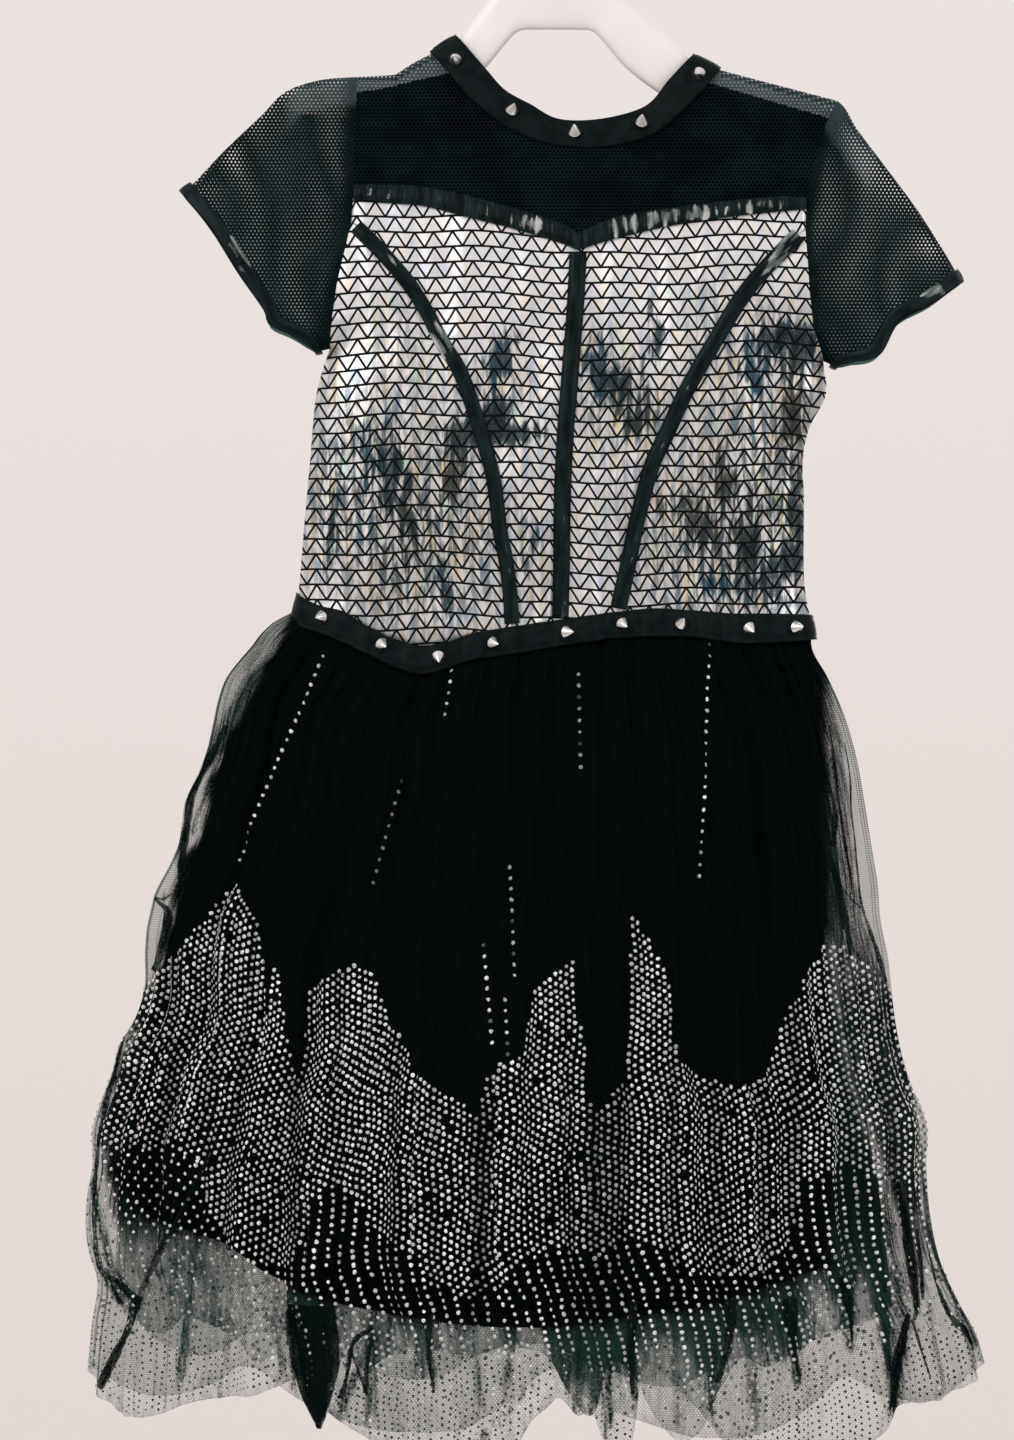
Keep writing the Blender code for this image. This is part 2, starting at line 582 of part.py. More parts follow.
def build_yoke(materials, group):
    mesh = materials["mesh"]
    neck = points(NECK)
    middle = (neck[:, :2] + neck[:, 2:]) / 2
    low_left, low_right = middle[2] * 0.5 + middle[1] * 0.5, middle[9]
    seam_left = [*SHOULDER_SEAM_LEFT[:-1], low_left]
    seam_right = [low_right, *SHOULDER_SEAM_RIGHT[1:]]
    scoop = [low_left, *middle[2:10]]
    sweet_left, sweet_right = cut(trim_middle(TRIM_LEFT), 8), cut(trim_middle(TRIM_RIGHT), 8)

    top = chain(cut(seam_left, 4), cut(scoop, 8), cut(seam_right, 4))
    bottom = chain(sweet_left, sweet_right)
    left = ARMHOLE_LEFT[SEAM_ROW:YOKE_ROW + 1]
    right = ARMHOLE_RIGHT[SEAM_ROW:YOKE_ROW + 1]
    front = patch(top, bottom, left, right)
    seam = np.where((np.arange(17) <= 4) | (np.arange(17) >= 12), HALF_GAP, 0.0)
    front_grid = pull_in(front, top=seam, bottom=HALF_GAP, left=HALF_GAP, right=HALF_GAP)
    body_piece("yoke_front", front_grid, -1, 0.0, CLOTH, mesh, group)
    inside = pull_in(front, top=1.5, bottom=1.0, left=1.0, right=1.0)
    body_piece("yoke_lining", inside, -1, -(CLOTH + LAID_GAP + GAP), NET, materials["lining"], group)

    shoulder_left, shoulder_right = points(SHOULDER_LEFT)[:0:-1], points(SHOULDER_RIGHT)[1:]
    neck_back = turned_ends(cut(middle, 40)[None], 5)[0]
    back_top = chain(shoulder_left, neck_back, shoulder_right)
    back_bottom = cut([ARMHOLE_LEFT[YOKE_ROW], ARMHOLE_RIGHT[YOKE_ROW]], 24)
    back = patch(back_top, back_bottom, ARMHOLE_LEFT[:YOKE_ROW + 1], ARMHOLE_RIGHT[:YOKE_ROW + 1])
    back = pull_in(back, bottom=HALF_GAP, left=HALF_GAP, right=HALF_GAP)
    turn = np.array([[0.0], [0.12], [0.34], [0.62], [1.0]])
    over_left = patch(shoulder_left, cut(seam_left, 4), ARMHOLE_LEFT[:SEAM_ROW + 1],
                      middle[0] + (low_left - middle[0]) * turn)
    over_right = patch(shoulder_right, cut(seam_right, 4), middle[10] + (low_right - middle[10]) * turn,
                       ARMHOLE_RIGHT[:SEAM_ROW + 1])
    over_left = pull_in(over_left, bottom=HALF_GAP, left=HALF_GAP)
    over_right = pull_in(over_right, bottom=HALF_GAP, right=HALF_GAP)
    over_left[0] = back[0, :5]
    over_right[0] = back[0, -5:]
    sheet = Sheet()
    sheet.add_body(back, 1, 0.0, CLOTH, apart=0.0)
    sheet.add_body(over_left, -1, 0.0, CLOTH, apart=0.0)
    sheet.add_body(over_right, -1, 0.0, CLOTH, apart=0.0)
    sheet.solid("yoke_back", mesh, group)


def build_collar(materials, group):
    neck = points(NECK)
    grid = turned_ends(band_grid(cut(neck[:, :2], 16), cut(neck[:, 2:], 16), 2))
    for name, side in (("collar_front", -1), ("collar_back", 1)):
        body_piece(name, grid, side, LAID_GAP + CLOTH, CLOTH, materials["satin"], group)


def sleeve_grid(armhole, top, underarm, hem, count):
    return patch(cut(top, count), cut(points(underarm)[::-1], count), armhole, cut(hem, len(armhole) - 1))


def build_sleeves(materials, group):
    table = (
        ("left", ARMHOLE_LEFT, SLEEVE_TOP_LEFT, UNDERARM_LEFT, SLEEVE_HEM_LEFT),
        ("right", ARMHOLE_RIGHT, SLEEVE_TOP_RIGHT, UNDERARM_RIGHT, SLEEVE_HEM_RIGHT),
    )
    for word, armhole, top, underarm, hem in table:
        full = sleeve_grid(armhole, top, underarm, hem, 24)
        length = np.linalg.norm(np.diff(full, axis=1), axis=-1).sum(axis=1)
        share = 1.0 - np.minimum(9.2 / length, 0.42)
        grid = []
        for at, row in zip(share, full):
            places = np.concatenate([np.linspace(0.0, at, 6), [1.0]]) * 24
            grid.append([[np.interp(place, range(25), row[:, axis]) for axis in range(2)] for place in places])
        grid = np.array(grid)
        grid[0] = np.concatenate([cut(part_of(top, 0.0, share[0]), 5), [top[-1]]])
        band = grid[:, -2:]
        grid = pull_in(grid, left=[0.7] * SEAM_ROW + [HALF_GAP] * (len(grid) - SEAM_ROW))
        turned = 1 if word == "right" else -1
        for name, shape, lift, wall, material in (
            ("sleeve_" + word, grid, 0.0, NET, "mesh"),
            ("sleeve_band_" + word, band, LAID_GAP + GAP + NET, NET, "satin"),
        ):
            sheet = Sheet()
            for side in (-1, 1):
                place, outward = on_body(shape, side, 0.0)
                sheet.add(place + lift * outward, place + (lift - wall) * outward, flip=side * turned < 0)
            sheet.solid(name, materials[material], group)


def build_bodice(materials, group):
    foil = materials["foil"]
    sweet_left, sweet_right = cut(trim_middle(TRIM_LEFT), 8), cut(trim_middle(TRIM_RIGHT), 8)
    princess_left, princess_right = cut(PRINCESS_LEFT, 12), cut(PRINCESS_RIGHT, 12)
    centre = cut(CENTRE, 12)
    for line in (princess_left, princess_right, centre):
        line[-1, 1] = waist_line(line[-1, 0], WAIST_FRONT, "seam")

    top = chain([ARMHOLE_LEFT[PRINCESS_ROW], ARMHOLE_LEFT[YOKE_ROW]], sweet_left)
    bottom = waist_curve(princess_left[-1, 0], centre[-1, 0], WAIST_FRONT, "seam", 9)
    grid = pull_in(patch(top, bottom, princess_left, centre), HALF_GAP, SEAM_ROOM, HALF_GAP, HALF_GAP)
    body_piece("bodice_centre_left", grid, -1, 0.0, CLOTH, foil, group)

    top = chain(sweet_right, [ARMHOLE_RIGHT[YOKE_ROW], ARMHOLE_RIGHT[PRINCESS_ROW]])
    bottom = waist_curve(centre[-1, 0], princess_right[-1, 0], WAIST_FRONT, "seam", 9)
    grid = pull_in(patch(top, bottom, centre, princess_right), HALF_GAP, SEAM_ROOM, HALF_GAP, HALF_GAP)
    body_piece("bodice_centre_right", grid, -1, 0.0, CLOTH, foil, group)

    seam_left, seam_right = side_seam(-1), side_seam(1)
    across = np.array([0.0, 0.01, 0.028, 0.051, 0.078, 0.14, 0.25, 0.38, 0.52, 0.68, 0.84, 1.0])[:, None]
    armhole = np.array([HALF_GAP] * 7 + [0.0] * 6)
    outer = chain(ARMHOLE_LEFT[PRINCESS_ROW:], seam_left)
    start = outer[0] * 0.86 + outer[1] * 0.14, princess_left[0] * 0.8 + princess_left[1] * 0.2
    top = start[0] + (start[1] - start[0]) * across
    x = outer[-1, 0] + (princess_left[-1, 0] - outer[-1, 0]) * across[:, 0]
    bottom = np.stack([x, waist_line(x, WAIST_FRONT, "seam")], axis=1)
    grid = patch(top, bottom, chain([start[0], outer[1]], outer[1:]),
                 chain([start[1], princess_left[1]], princess_left[1:]))
    grid = fan_in(grid, across[:, 0])
    grid = pull_in(grid, 0.0, SEAM_ROOM, armhole, HALF_GAP)
    body_piece("bodice_side_left", grid, -1, 0.0, CLOTH, foil, group)

    outer = chain(ARMHOLE_RIGHT[PRINCESS_ROW:], seam_right)
    start = princess_right[0] * 0.8 + princess_right[1] * 0.2, outer[0] * 0.86 + outer[1] * 0.14
    across = 1.0 - across[::-1]
    top = start[0] + (start[1] - start[0]) * across
    x = princess_right[-1, 0] + (outer[-1, 0] - princess_right[-1, 0]) * across[:, 0]
    bottom = np.stack([x, waist_line(x, WAIST_FRONT, "seam")], axis=1)
    grid = patch(top, bottom, chain([start[0], princess_right[1]], princess_right[1:]),
                 chain([start[1], outer[1]], outer[1:]))
    grid = fan_in(grid, across[:, 0])
    grid = pull_in(grid, 0.0, SEAM_ROOM, HALF_GAP, armhole)
    body_piece("bodice_side_right", grid, -1, 0.0, CLOTH, foil, group)

    near = np.array(TURN_STEPS) / 340.0
    across = np.concatenate([near, [0.25, 0.38, 0.5, 0.62, 0.75], 1.0 - near[::-1]])[:, None]
    left, right = chain(ARMHOLE_LEFT[YOKE_ROW:], seam_left), chain(ARMHOLE_RIGHT[YOKE_ROW:], seam_right)
    top = left[0] + (right[0] - left[0]) * across
    x = left[-1, 0] + (right[-1, 0] - left[-1, 0]) * across[:, 0]
    bottom = np.stack([x, waist_line(x, WAIST_BACK, "seam")], axis=1)
    grid = fan_in(patch(top, bottom, left, right), across[:, 0])
    armhole = np.array([HALF_GAP] * 8 + [0.0] * 6)
    grid = pull_in(grid, HALF_GAP, SEAM_ROOM, armhole, armhole)
    body_piece("bodice_back", grid, 1, 0.0, CLOTH, foil, group)


def side_seam(side):
    """The side seam down to the waist seam, in six steps."""
    line = SIDE_LEFT if side < 0 else SIDE_RIGHT
    rows = WAIST_FRONT
    foot = waist_line(rows[0][0] if side < 0 else rows[-1][0], rows, "seam")
    kept = [row for row in line if row[1] > foot + 6.0]
    return cut(kept + [(side_x(side, foot), foot)], 6)


def fan_in(grid, across):
    """The grid's rows spaced along their length by the given shares."""
    ends = grid[:, :1], grid[:, -1:]
    straight = ends[0] + (ends[1] - ends[0]) * across[None, :, None]
    keep = np.zeros((len(grid), 1, 1))
    keep[0], keep[-1] = 1.0, 1.0
    return grid * keep + straight * (1 - keep)


def build_strips(materials, group):
    leather = materials["leather"]
    left = [(-134.0, -226.3)] + list(PRINCESS_LEFT[2:-1]) + [(-31.6, -487.0)]
    right = [(156.3, -232.0)] + list(PRINCESS_RIGHT[2:-1]) + [(38.2, -477.0)]
    centre = [(11.6, -243.6)] + list(CENTRE[1:-1]) + [(-0.4, -482.8)]
    for name, curve, width, count in (
        ("strip_left", left, STRIP_LEFT_WIDTH, 14),
        ("strip_centre", centre, STRIP_CENTRE_WIDTH, 10),
        ("strip_right", right, STRIP_RIGHT_WIDTH, 14),
    ):
        body_piece(name, strip_grid(curve, width, count), -1, LAID_GAP + CLOTH, CLOTH, leather, group)


def build_trim(materials, group):
    rows = points(TRIM_LEFT + TRIM_RIGHT[1:])
    upper = chain(cut(rows[:7, [0, 1]], 9), cut(rows[6:, [0, 1]], 9))
    lower = chain(cut(rows[:7, [0, 2]], 9), cut(rows[6:, [0, 2]], 9))
    grid = pull_in(band_grid(upper, lower, 2), left=0.8, right=0.8)
    body_piece("neckline_trim", grid, -1, LAID_GAP + CLOTH, CLOTH, materials["leather"], group)


def build_waistband(materials, group):
    table = (("waistband_front", WAIST_FRONT, -1), ("waistband_back", WAIST_BACK, 1))
    for name, rows, side in table:
        grid = band_grid(snapped_waist(rows, "upper", 22), snapped_waist(rows, "lower", 22), 2)
        body_piece(name, turned_ends(grid, 17), side, LAID_GAP + CLOTH, CLOTH, materials["satin"], group)


def fold_places(steps):
    """Angles right round the skirt and the wave's share of its height at each."""
    widths = points(SKIRT_FOLDS)[:, 0]
    widths = widths * 360.0 / widths.sum()
    angles, heights = [], []
    start = -180.0
    for width, (_, crest, trough) in zip(widths, SKIRT_FOLDS):
        for step in range(steps):
            share = step / steps
            wave = math.cos(2 * math.pi * share)
            angles.append(start + width * share)
            heights.append(wave * (crest if wave > 0 else trough))
        start += width
    angles = np.array(angles)
    for side_seam in (-90.0, 90.0):
        angles[np.abs(angles - side_seam).argmin()] = side_seam
    return np.radians(angles), np.array(heights)


def skirt_layer(name, rows, hem_front, hem_back, wave, inset, steps, downs, material, group):
    angle, height = fold_places(steps)
    right, front = np.sin(angle), np.cos(angle)
    is_front = front > 0
    seam_x = -4.6 + 170.3 * right
    seam = waist_line(seam_x, WAIST_FRONT, "seam")
    seam = np.where(is_front, seam, waist_line(seam_x, WAIST_BACK, "seam")) - SEAM_ROOM
    last = rows[-1]
    hem_x = (last[1] + last[2]) / 2 + (last[2] - last[1]) / 2 * right
    hem = np.where(is_front, column(hem_front, hem_x, 0, 1), column(hem_back, hem_x, 0, 1))
    rings = []
    near = NEAR_DROPS[-1]
    drops = [near_drop + 0.0 * seam for near_drop in NEAR_DROPS]
    drops += [near + (seam - hem - near) * share for share in downs]
    for drop in drops:
        z = seam - drop
        left_x, right_x = column(rows, drop, 0, 1), column(rows, drop, 0, 2)
        half = (right_x - left_x) / 2 - inset
        full = np.where(is_front, column(rows, drop, 0, 3), column(rows, drop, 0, 4)) - inset
        edge = half * (1 - np.abs(right))
        flat = ROLL_DEPTH * rounded(edge / ROLL_WIDTH) + (full - ROLL_DEPTH) * rounded(edge / FILL_WIDTH)
        blend = np.clip((drop - 12.0) / 110.0, 0.0, 1.0)
        depth = flat * (1 - blend) + full * np.abs(front) * blend
        calm = np.clip(np.abs(front) / 0.6, 0.35, 1.0)
        rise = wave * height * calm * np.clip((drop - 14.0) / 360.0, 0.0, 1.0) ** 0.8
        out_x, out_y = right * full, -front * half
        size = np.maximum(np.hypot(out_x, out_y), 1e-6)
        x = (left_x + right_x) / 2 + half * right + rise * out_x / size
        y = np.where(is_front, -depth, depth) + rise * out_y / size
        rings.append(np.stack([x, y, z], axis=1))
    outer = np.array(rings)
    around = np.roll(outer, -1, axis=1) - np.roll(outer, 1, axis=1)
    down = np.gradient(outer, axis=0)
    outward = np.cross(around, -down)
    outward[0, :, 2] = 0.0
    outward /= np.linalg.norm(outward, axis=-1, keepdims=True)
    inner = outer - NET * outward
    left, right_end = np.abs(angle + math.pi / 2).argmin(), np.abs(angle - math.pi / 2).argmin()
    halves = (("front", -1, list(range(left, right_end + 1))),
              ("back", 1, list(range(right_end, len(angle))) + list(range(left + 1))))
    for word, side, columns in halves:
        outer_half, inner_half = outer[:, columns], inner[:, columns]
        for grid in (outer_half, inner_half):
            grid[:, [0, -1], 1] += side * SIDE_SEAM_GAP / 2
        sheet = Sheet()
        sheet.add(outer_half, inner_half, flip=True)
        sheet.solid(name + "_" + word, material, group)


def build_skirt(materials, group):
    skirt_layer("skirt_lining", LINING_ROWS, LINING_HEM_FRONT, LINING_HEM_BACK, LINING_WAVE,
                3.6, 2, LINING_STEPS, materials["lining"], group)
    skirt_layer("skirt_net_inner", INNER_ROWS, INNER_HEM_FRONT, INNER_HEM_BACK, INNER_WAVE,
                2.0, 2, INNER_STEPS, materials["net"], group)
    skirt_layer("skirt_net_outer", OUTER_ROWS, OUTER_HEM_FRONT, OUTER_HEM_BACK, OUTER_WAVE,
                0.5, 4, OUTER_STEPS, materials["net"], group)


def closed_loft(rings):
    """Corners and faces of a body through rings of equal count, its ends closed."""
    count = len(rings[0])
    faces = [list(range(count))[::-1], [len(rings) * count - count + k for k in range(count)]]
    for row in range(len(rings) - 1):
        for k in range(count):
            a, b = row * count + k, row * count + (k + 1) % count
            faces.append([a, b, b + count, a + count])
    return np.concatenate(rings), faces


def build_hanger(materials, group, cutters):
    turn = np.linspace(0.0, 2 * math.pi, 12, endpoint=False) + math.pi / 12
    across = np.sign(np.cos(turn)) * np.abs(np.cos(turn)) ** 0.6
    up = np.sign(np.sin(turn)) * np.abs(np.sin(turn)) ** 0.6
    rings = [np.stack([np.full(12, x), across * half, (top + bottom) / 2 + up * (top - bottom) / 2], axis=1)
             for x, top, bottom, half in HANGER]
    arms = make_object("hanger", *closed_loft(rings), materials["plastic"], group)

    radius = HOOK_INNER_RADIUS + HOOK_HALF_WIDTH
    bend = np.radians(np.linspace(-66.0, HOOK_END, 20))
    curve = np.stack([radius * np.cos(bend), -HOOK_INNER_RADIUS + radius * np.sin(bend)], axis=1)
    path = np.concatenate([[(0.0, STEM_FOOT), (0.4, -50.0), (3.4, -43.6)], curve])
    along = np.gradient(path, axis=0)
    along /= np.linalg.norm(along, axis=1, keepdims=True)
    rings = []
    circle = np.linspace(0.0, 2 * math.pi, 8, endpoint=False)
    for (x, z), (dx, dz) in zip(path, along):
        side = HOOK_HALF_WIDTH * np.cos(circle)
        rings.append(np.stack([x - dz * side, HOOK_HALF_WIDTH * np.sin(circle), z + dx * side], axis=1))
    hook = make_object("hook_shape", *closed_loft(rings), materials["plastic"], cutters)
    hook.hide_render = True
    hook.display_type = "WIRE"
    join = arms.modifiers.new("join_hook", "BOOLEAN")
    join.operation = "UNION"
    join.solver = "EXACT"
    join.object = hook


def build_studs(materials, group):
    base, tip, height = STUD
    for word, rows in (("collar", COLLAR_STUDS), ("waist", WAIST_STUDS)):
        for number, (x, z, sideways, up) in enumerate(rows, 1):
            place, outward = on_body(np.array([[[x, z]]]), -1)
            sideways, up = math.radians(sideways), math.radians(up)
            axis = Vector(outward[0, 0])
            axis += Vector((math.tan(sideways), 0.0, math.tan(up)))
            axis.normalize()
            lean = math.acos(min(1.0, axis.dot(Vector(outward[0, 0]))))
            stand = LAID_GAP + GAP + CLOTH + 0.35 + base * math.sin(lean)
            centre = Vector(place[0, 0] + stand * outward[0, 0]) + axis * height / 2
            bpy.ops.mesh.primitive_cone_add(
                vertices=10, radius1=base * MM, radius2=tip * MM, depth=height * MM,
                location=centre * MM, rotation=axis.to_track_quat("Z", "Y").to_euler())
            stud = bpy.context.object
            stud.name = "%s_stud_%d" % (word, number)
            stud.data.materials.append(materials["steel"])
            for face in stud.data.polygons:
                face.use_smooth = len(face.vertices) == 4
            for owner in list(stud.users_collection):
                owner.objects.unlink(stud)
            group.objects.link(stud)


def build():
    clear_scene()
    group = make_collection("tulle_dress")
    cutters = make_collection("shaping_bodies")
    cutters.hide_render = True
    materials = {
        "mesh": make_material("mesh_cloth", (0.012, 0.016, 0.016), 0.75, 0.0),
        "satin": make_material("satin_band", (0.010, 0.014, 0.014), 0.45, 0.0),
        "leather": make_material("coated_cloth", (0.012, 0.016, 0.017), 0.25, 0.0),
        "foil": make_material("foil_cloth", (0.62, 0.62, 0.62), 0.3, 0.8),
        "lining": make_material("lining_cloth", (0.006, 0.008, 0.008), 0.8, 0.0),
        "net": make_material("tulle", (0.014, 0.018, 0.017), 0.7, 0.0),
        "plastic": make_material("pale_plastic", (0.82, 0.76, 0.74), 0.35, 0.0),
        "steel": make_material("stud_metal", (0.72, 0.70, 0.68), 0.2, 1.0),
    }
    build_hanger(materials, group, cutters)
    build_yoke(materials, group)
    build_collar(materials, group)
    build_sleeves(materials, group)
    build_bodice(materials, group)
    build_trim(materials, group)
    build_strips(materials, group)
    build_waistband(materials, group)
    build_skirt(materials, group)
    build_studs(materials, group)


build()
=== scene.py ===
# Party dress of black mesh, foil cloth and dotted tulle, hanging on its plastic hanger.
# The tables are in millimetres. The front faces -Y, and the hook bears at the origin.

import math

import bpy
import numpy as np
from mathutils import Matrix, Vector


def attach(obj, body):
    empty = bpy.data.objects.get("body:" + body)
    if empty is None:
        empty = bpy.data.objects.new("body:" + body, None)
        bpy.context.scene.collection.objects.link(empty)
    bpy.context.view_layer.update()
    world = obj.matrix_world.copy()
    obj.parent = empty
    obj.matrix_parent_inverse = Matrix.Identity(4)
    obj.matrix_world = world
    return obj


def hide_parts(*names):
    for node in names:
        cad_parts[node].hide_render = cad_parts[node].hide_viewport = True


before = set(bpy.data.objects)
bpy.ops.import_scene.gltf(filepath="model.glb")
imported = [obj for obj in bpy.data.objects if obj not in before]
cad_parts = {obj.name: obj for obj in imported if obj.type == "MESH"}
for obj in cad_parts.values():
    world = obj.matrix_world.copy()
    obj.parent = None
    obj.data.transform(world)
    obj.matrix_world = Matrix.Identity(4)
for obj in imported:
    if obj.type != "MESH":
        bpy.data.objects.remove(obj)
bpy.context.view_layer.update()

MM = 0.001
CLOTH = 1.2  # thickness of a sheet
LAID = 1.9  # height of a band that is laid on the cloth
ROLL_DEPTH, ROLL_WIDTH = 7.0, 9.0  # the roll at a closed edge
FILL_WIDTH = 60.0  # this far in from a closed edge the body has its full depth
SEAM_TOUCH = 0.05  # nearer than this to a closed edge, cloth faces straight out of it
WAIST_MIDDLE, WAIST_HALF = -4.6, 170.3  # x of the waist seam's middle, and half its width
NET_PER_RADIAN = 215.0  # cloth in the nets' flat map for a radian round the waist
BAND_WIDTH, BAND_LENGTH = 9.2, 120.0  # sleeve bands, front or back
COLLAR_HEIGHT, COLLAR_LENGTH = 18.0, 240.0
TRIM_HEIGHT, TRIM_LENGTH = 13.0, 305.0
WAISTBAND_HEIGHT, WAISTBAND_LENGTH = 19.0, 345.0
STRIP_STEP = 1.7  # length of a step along a strip, in its flat map
STITCH_LINE, GROOVE = 0.14, 0.05  # how far in a band is stitched, and half the groove's width, as shares of it
DOT_COLUMNS = 84.0  # columns of dots on the front, and as many on the back
DOT_RADIUS = 1.42
DOT_ROW = 2.48  # from one row of dots to the next
DOTS_TOP, DOTS_LOW = 150.0, 562.0  # drops between which dots are laid out
LOOSE_SIDE = -200.0  # left of this x the nets hang past the lining
STUD_BASE, STUD_HEIGHT = 4.6, 6.6
HOOK_RADIUS, HOOK_ROD = 23.2, 3.2

# Closed edges of the upper part: x, z.
SHOULDER_LEFT = ((-68, -99.4), (-76.6, -105), (-85.1, -110.6), (-97, -116.6), (-108.9, -124.5), (-134, -125.8))
SHOULDER_RIGHT = (
    (87.1, -112), (96.4, -116.6), (105.6, -121.2), (135.3, -129.1), (158.4, -135.1), (183.5, -141.7),
)
SLEEVE_TOP_LEFT = (
    (-134, -125.8), (-158.4, -127.8), (-181.5, -135.7), (-196.7, -150.9), (-221.1, -174), (-240.9, -195.1),
    (-250.1, -202.4),
)
SLEEVE_TOP_RIGHT = (
    (183.5, -141.7), (189, -147.6), (196, -160.1), (213.8, -183.9), (236.3, -214.3), (256.7, -246.6),
    (264.7, -261.8),
)
UNDERARM_LEFT = ((-161, -307.3), (-151.8, -305.3))
UNDERARM_RIGHT = ((182.2, -317.2), (173.6, -313.3))
SIDE_LEFT = (
    (-151.8, -305.3), (-157.1, -320.5), (-161.7, -341), (-165, -379.3), (-168.3, -414.9), (-172.3, -463.1),
    (-174.9, -476.9), (-177.5, -487.5),
)
SIDE_RIGHT = (
    (173.6, -313.3), (175.6, -335.7), (165, -356), (160.2, -378), (161, -404.3), (161, -456.5), (165, -482),
    (167.6, -497.4),
)

# Open edges of the sleeves and the armhole seams: x, z.
SLEEVE_HEM_LEFT = (
    (-250.1, -202.4), (-230.3, -226.8), (-212.5, -255.2), (-195.4, -280.3), (-191.4, -290.8), (-178.9, -296.8),
    (-161, -307.3),
)
SLEEVE_HEM_RIGHT = (
    (264.7, -261.8), (244.2, -277), (222.4, -289.5), (209.9, -310.6), (192.1, -315.2), (182.2, -317.2),
)
ARMHOLE_LEFT = (
    (-134, -125.8), (-134, -137), (-134.9, -155), (-136, -178), (-136, -203.7), (-137.3, -223.5), (-141.2, -240),
    (-146.5, -262.4), (-149.8, -284.9), (-151.8, -305.3),
)
ARMHOLE_RIGHT = (
    (183.5, -141.7), (176.9, -153.5), (171.5, -170), (166, -190), (161.7, -211), (161, -228.1), (162.4, -247.9),
    (163.7, -269.7), (166.3, -292.8), (173.6, -313.3),
)

# Neck band: inner edge x, z, then outer edge x, z.
NECK = (
    (-68, -99.4, -85.1, -110.6), (-58, -111, -75, -122), (-48.2, -122.5, -61.5, -139),
    (-36.3, -135.7, -41, -156.5), (-19.8, -145, -18, -168), (-1.3, -154.8, 6, -173.3), (26.4, -154.9, 33, -172.7),
    (56.1, -146.3, 62, -164.5), (71.3, -129.1, 84, -146), (79.5, -120, 96, -133.5), (87.1, -112, 105.6, -121.2),
)
SHOULDER_SEAM_LEFT = ((-134, -137), (-115.5, -133.7), (-92.4, -128.2), (-74.6, -124.5))
SHOULDER_SEAM_RIGHT = ((103, -131.8), (125.4, -138.4), (151.8, -146.3), (176.9, -153.5))

# Trim along the top of the foil cloth: x, upper z, lower z.
TRIM_LEFT = (
    (-136, -198.6, -208.8), (-112.9, -198.6, -210.8), (-89, -200, -212.8), (-62.4, -205.4, -219.8),
    (-34.3, -212.9, -226.8), (-0.7, -223.5, -236.9), (11.5, -230.8, -242),
)
TRIM_RIGHT = (
    (11.5, -230.8, -242), (27, -223.2, -237), (44.2, -218.2, -232.4), (74.6, -213.6, -225.5),
    (108, -209.4, -220.4), (143, -206.3, -216.5), (161.7, -207, -215),
)

# Seam lines of the bodice front: x, z.
PRINCESS_LEFT = (
    (-137.3, -223.5), (-130, -229.4), (-115.5, -245.3), (-100.3, -263.1), (-87.8, -282.2), (-79.2, -299.4),
    (-66.7, -319.9), (-58.7, -341), (-50.2, -368.7), (-43.6, -393.8), (-39.6, -425.5), (-35.6, -446.6),
    (-33, -467.7), (-31, -498),
)
PRINCESS_RIGHT = (
    (161, -228.1), (146.5, -240), (134, -254.5), (117.5, -275), (104.3, -296.8), (91.7, -317.9), (81.2, -337),
    (70.6, -360.1), (60.1, -383.2), (54.1, -404.3), (48.8, -425.5), (44.9, -445.9), (40.3, -467), (36.4, -488),
)
CENTRE = (
    (11.5, -236.4), (9.9, -278.3), (6.6, -319.9), (3.3, -362.1), (1.3, -404.3), (0.7, -446.6), (-0.9, -492.8),
)

# Waistband: x, upper z, lower z.
WAIST_FRONT = (
    (-176, -467, -487.5), (-159, -474.6, -493), (-139, -480, -501), (-121, -492, -509.8), (-102, -499.4, -519),
    (-87.5, -502, -520.4), (-74, -498.8, -516.6), (-63, -494, -511), (-35, -489.3, -507.8), (0, -484.2, -501.6),
    (33, -479.5, -496.8), (60, -476.5, -495.4), (88, -478.2, -495.6), (113, -480.4, -499.8),
    (140, -480.2, -499.8), (167, -481.2, -497.4),
)
WAIST_BACK = ((-176, -467, -487.5), (-60, -473, -491.5), (60, -478, -495.5), (167, -481.2, -497.4))

# Depth of the upper part: z, front, back.
BODY_DEPTH = (
    (-95, 8.5, 8), (-130, 10, 9.5), (-170, 13, 11), (-210, 17, 13.5), (-260, 22, 16), (-310, 25, 18),
    (-380, 25.5, 18.5), (-440, 23.5, 18), (-480, 22, 17.5), (-530, 22, 17.5),
)

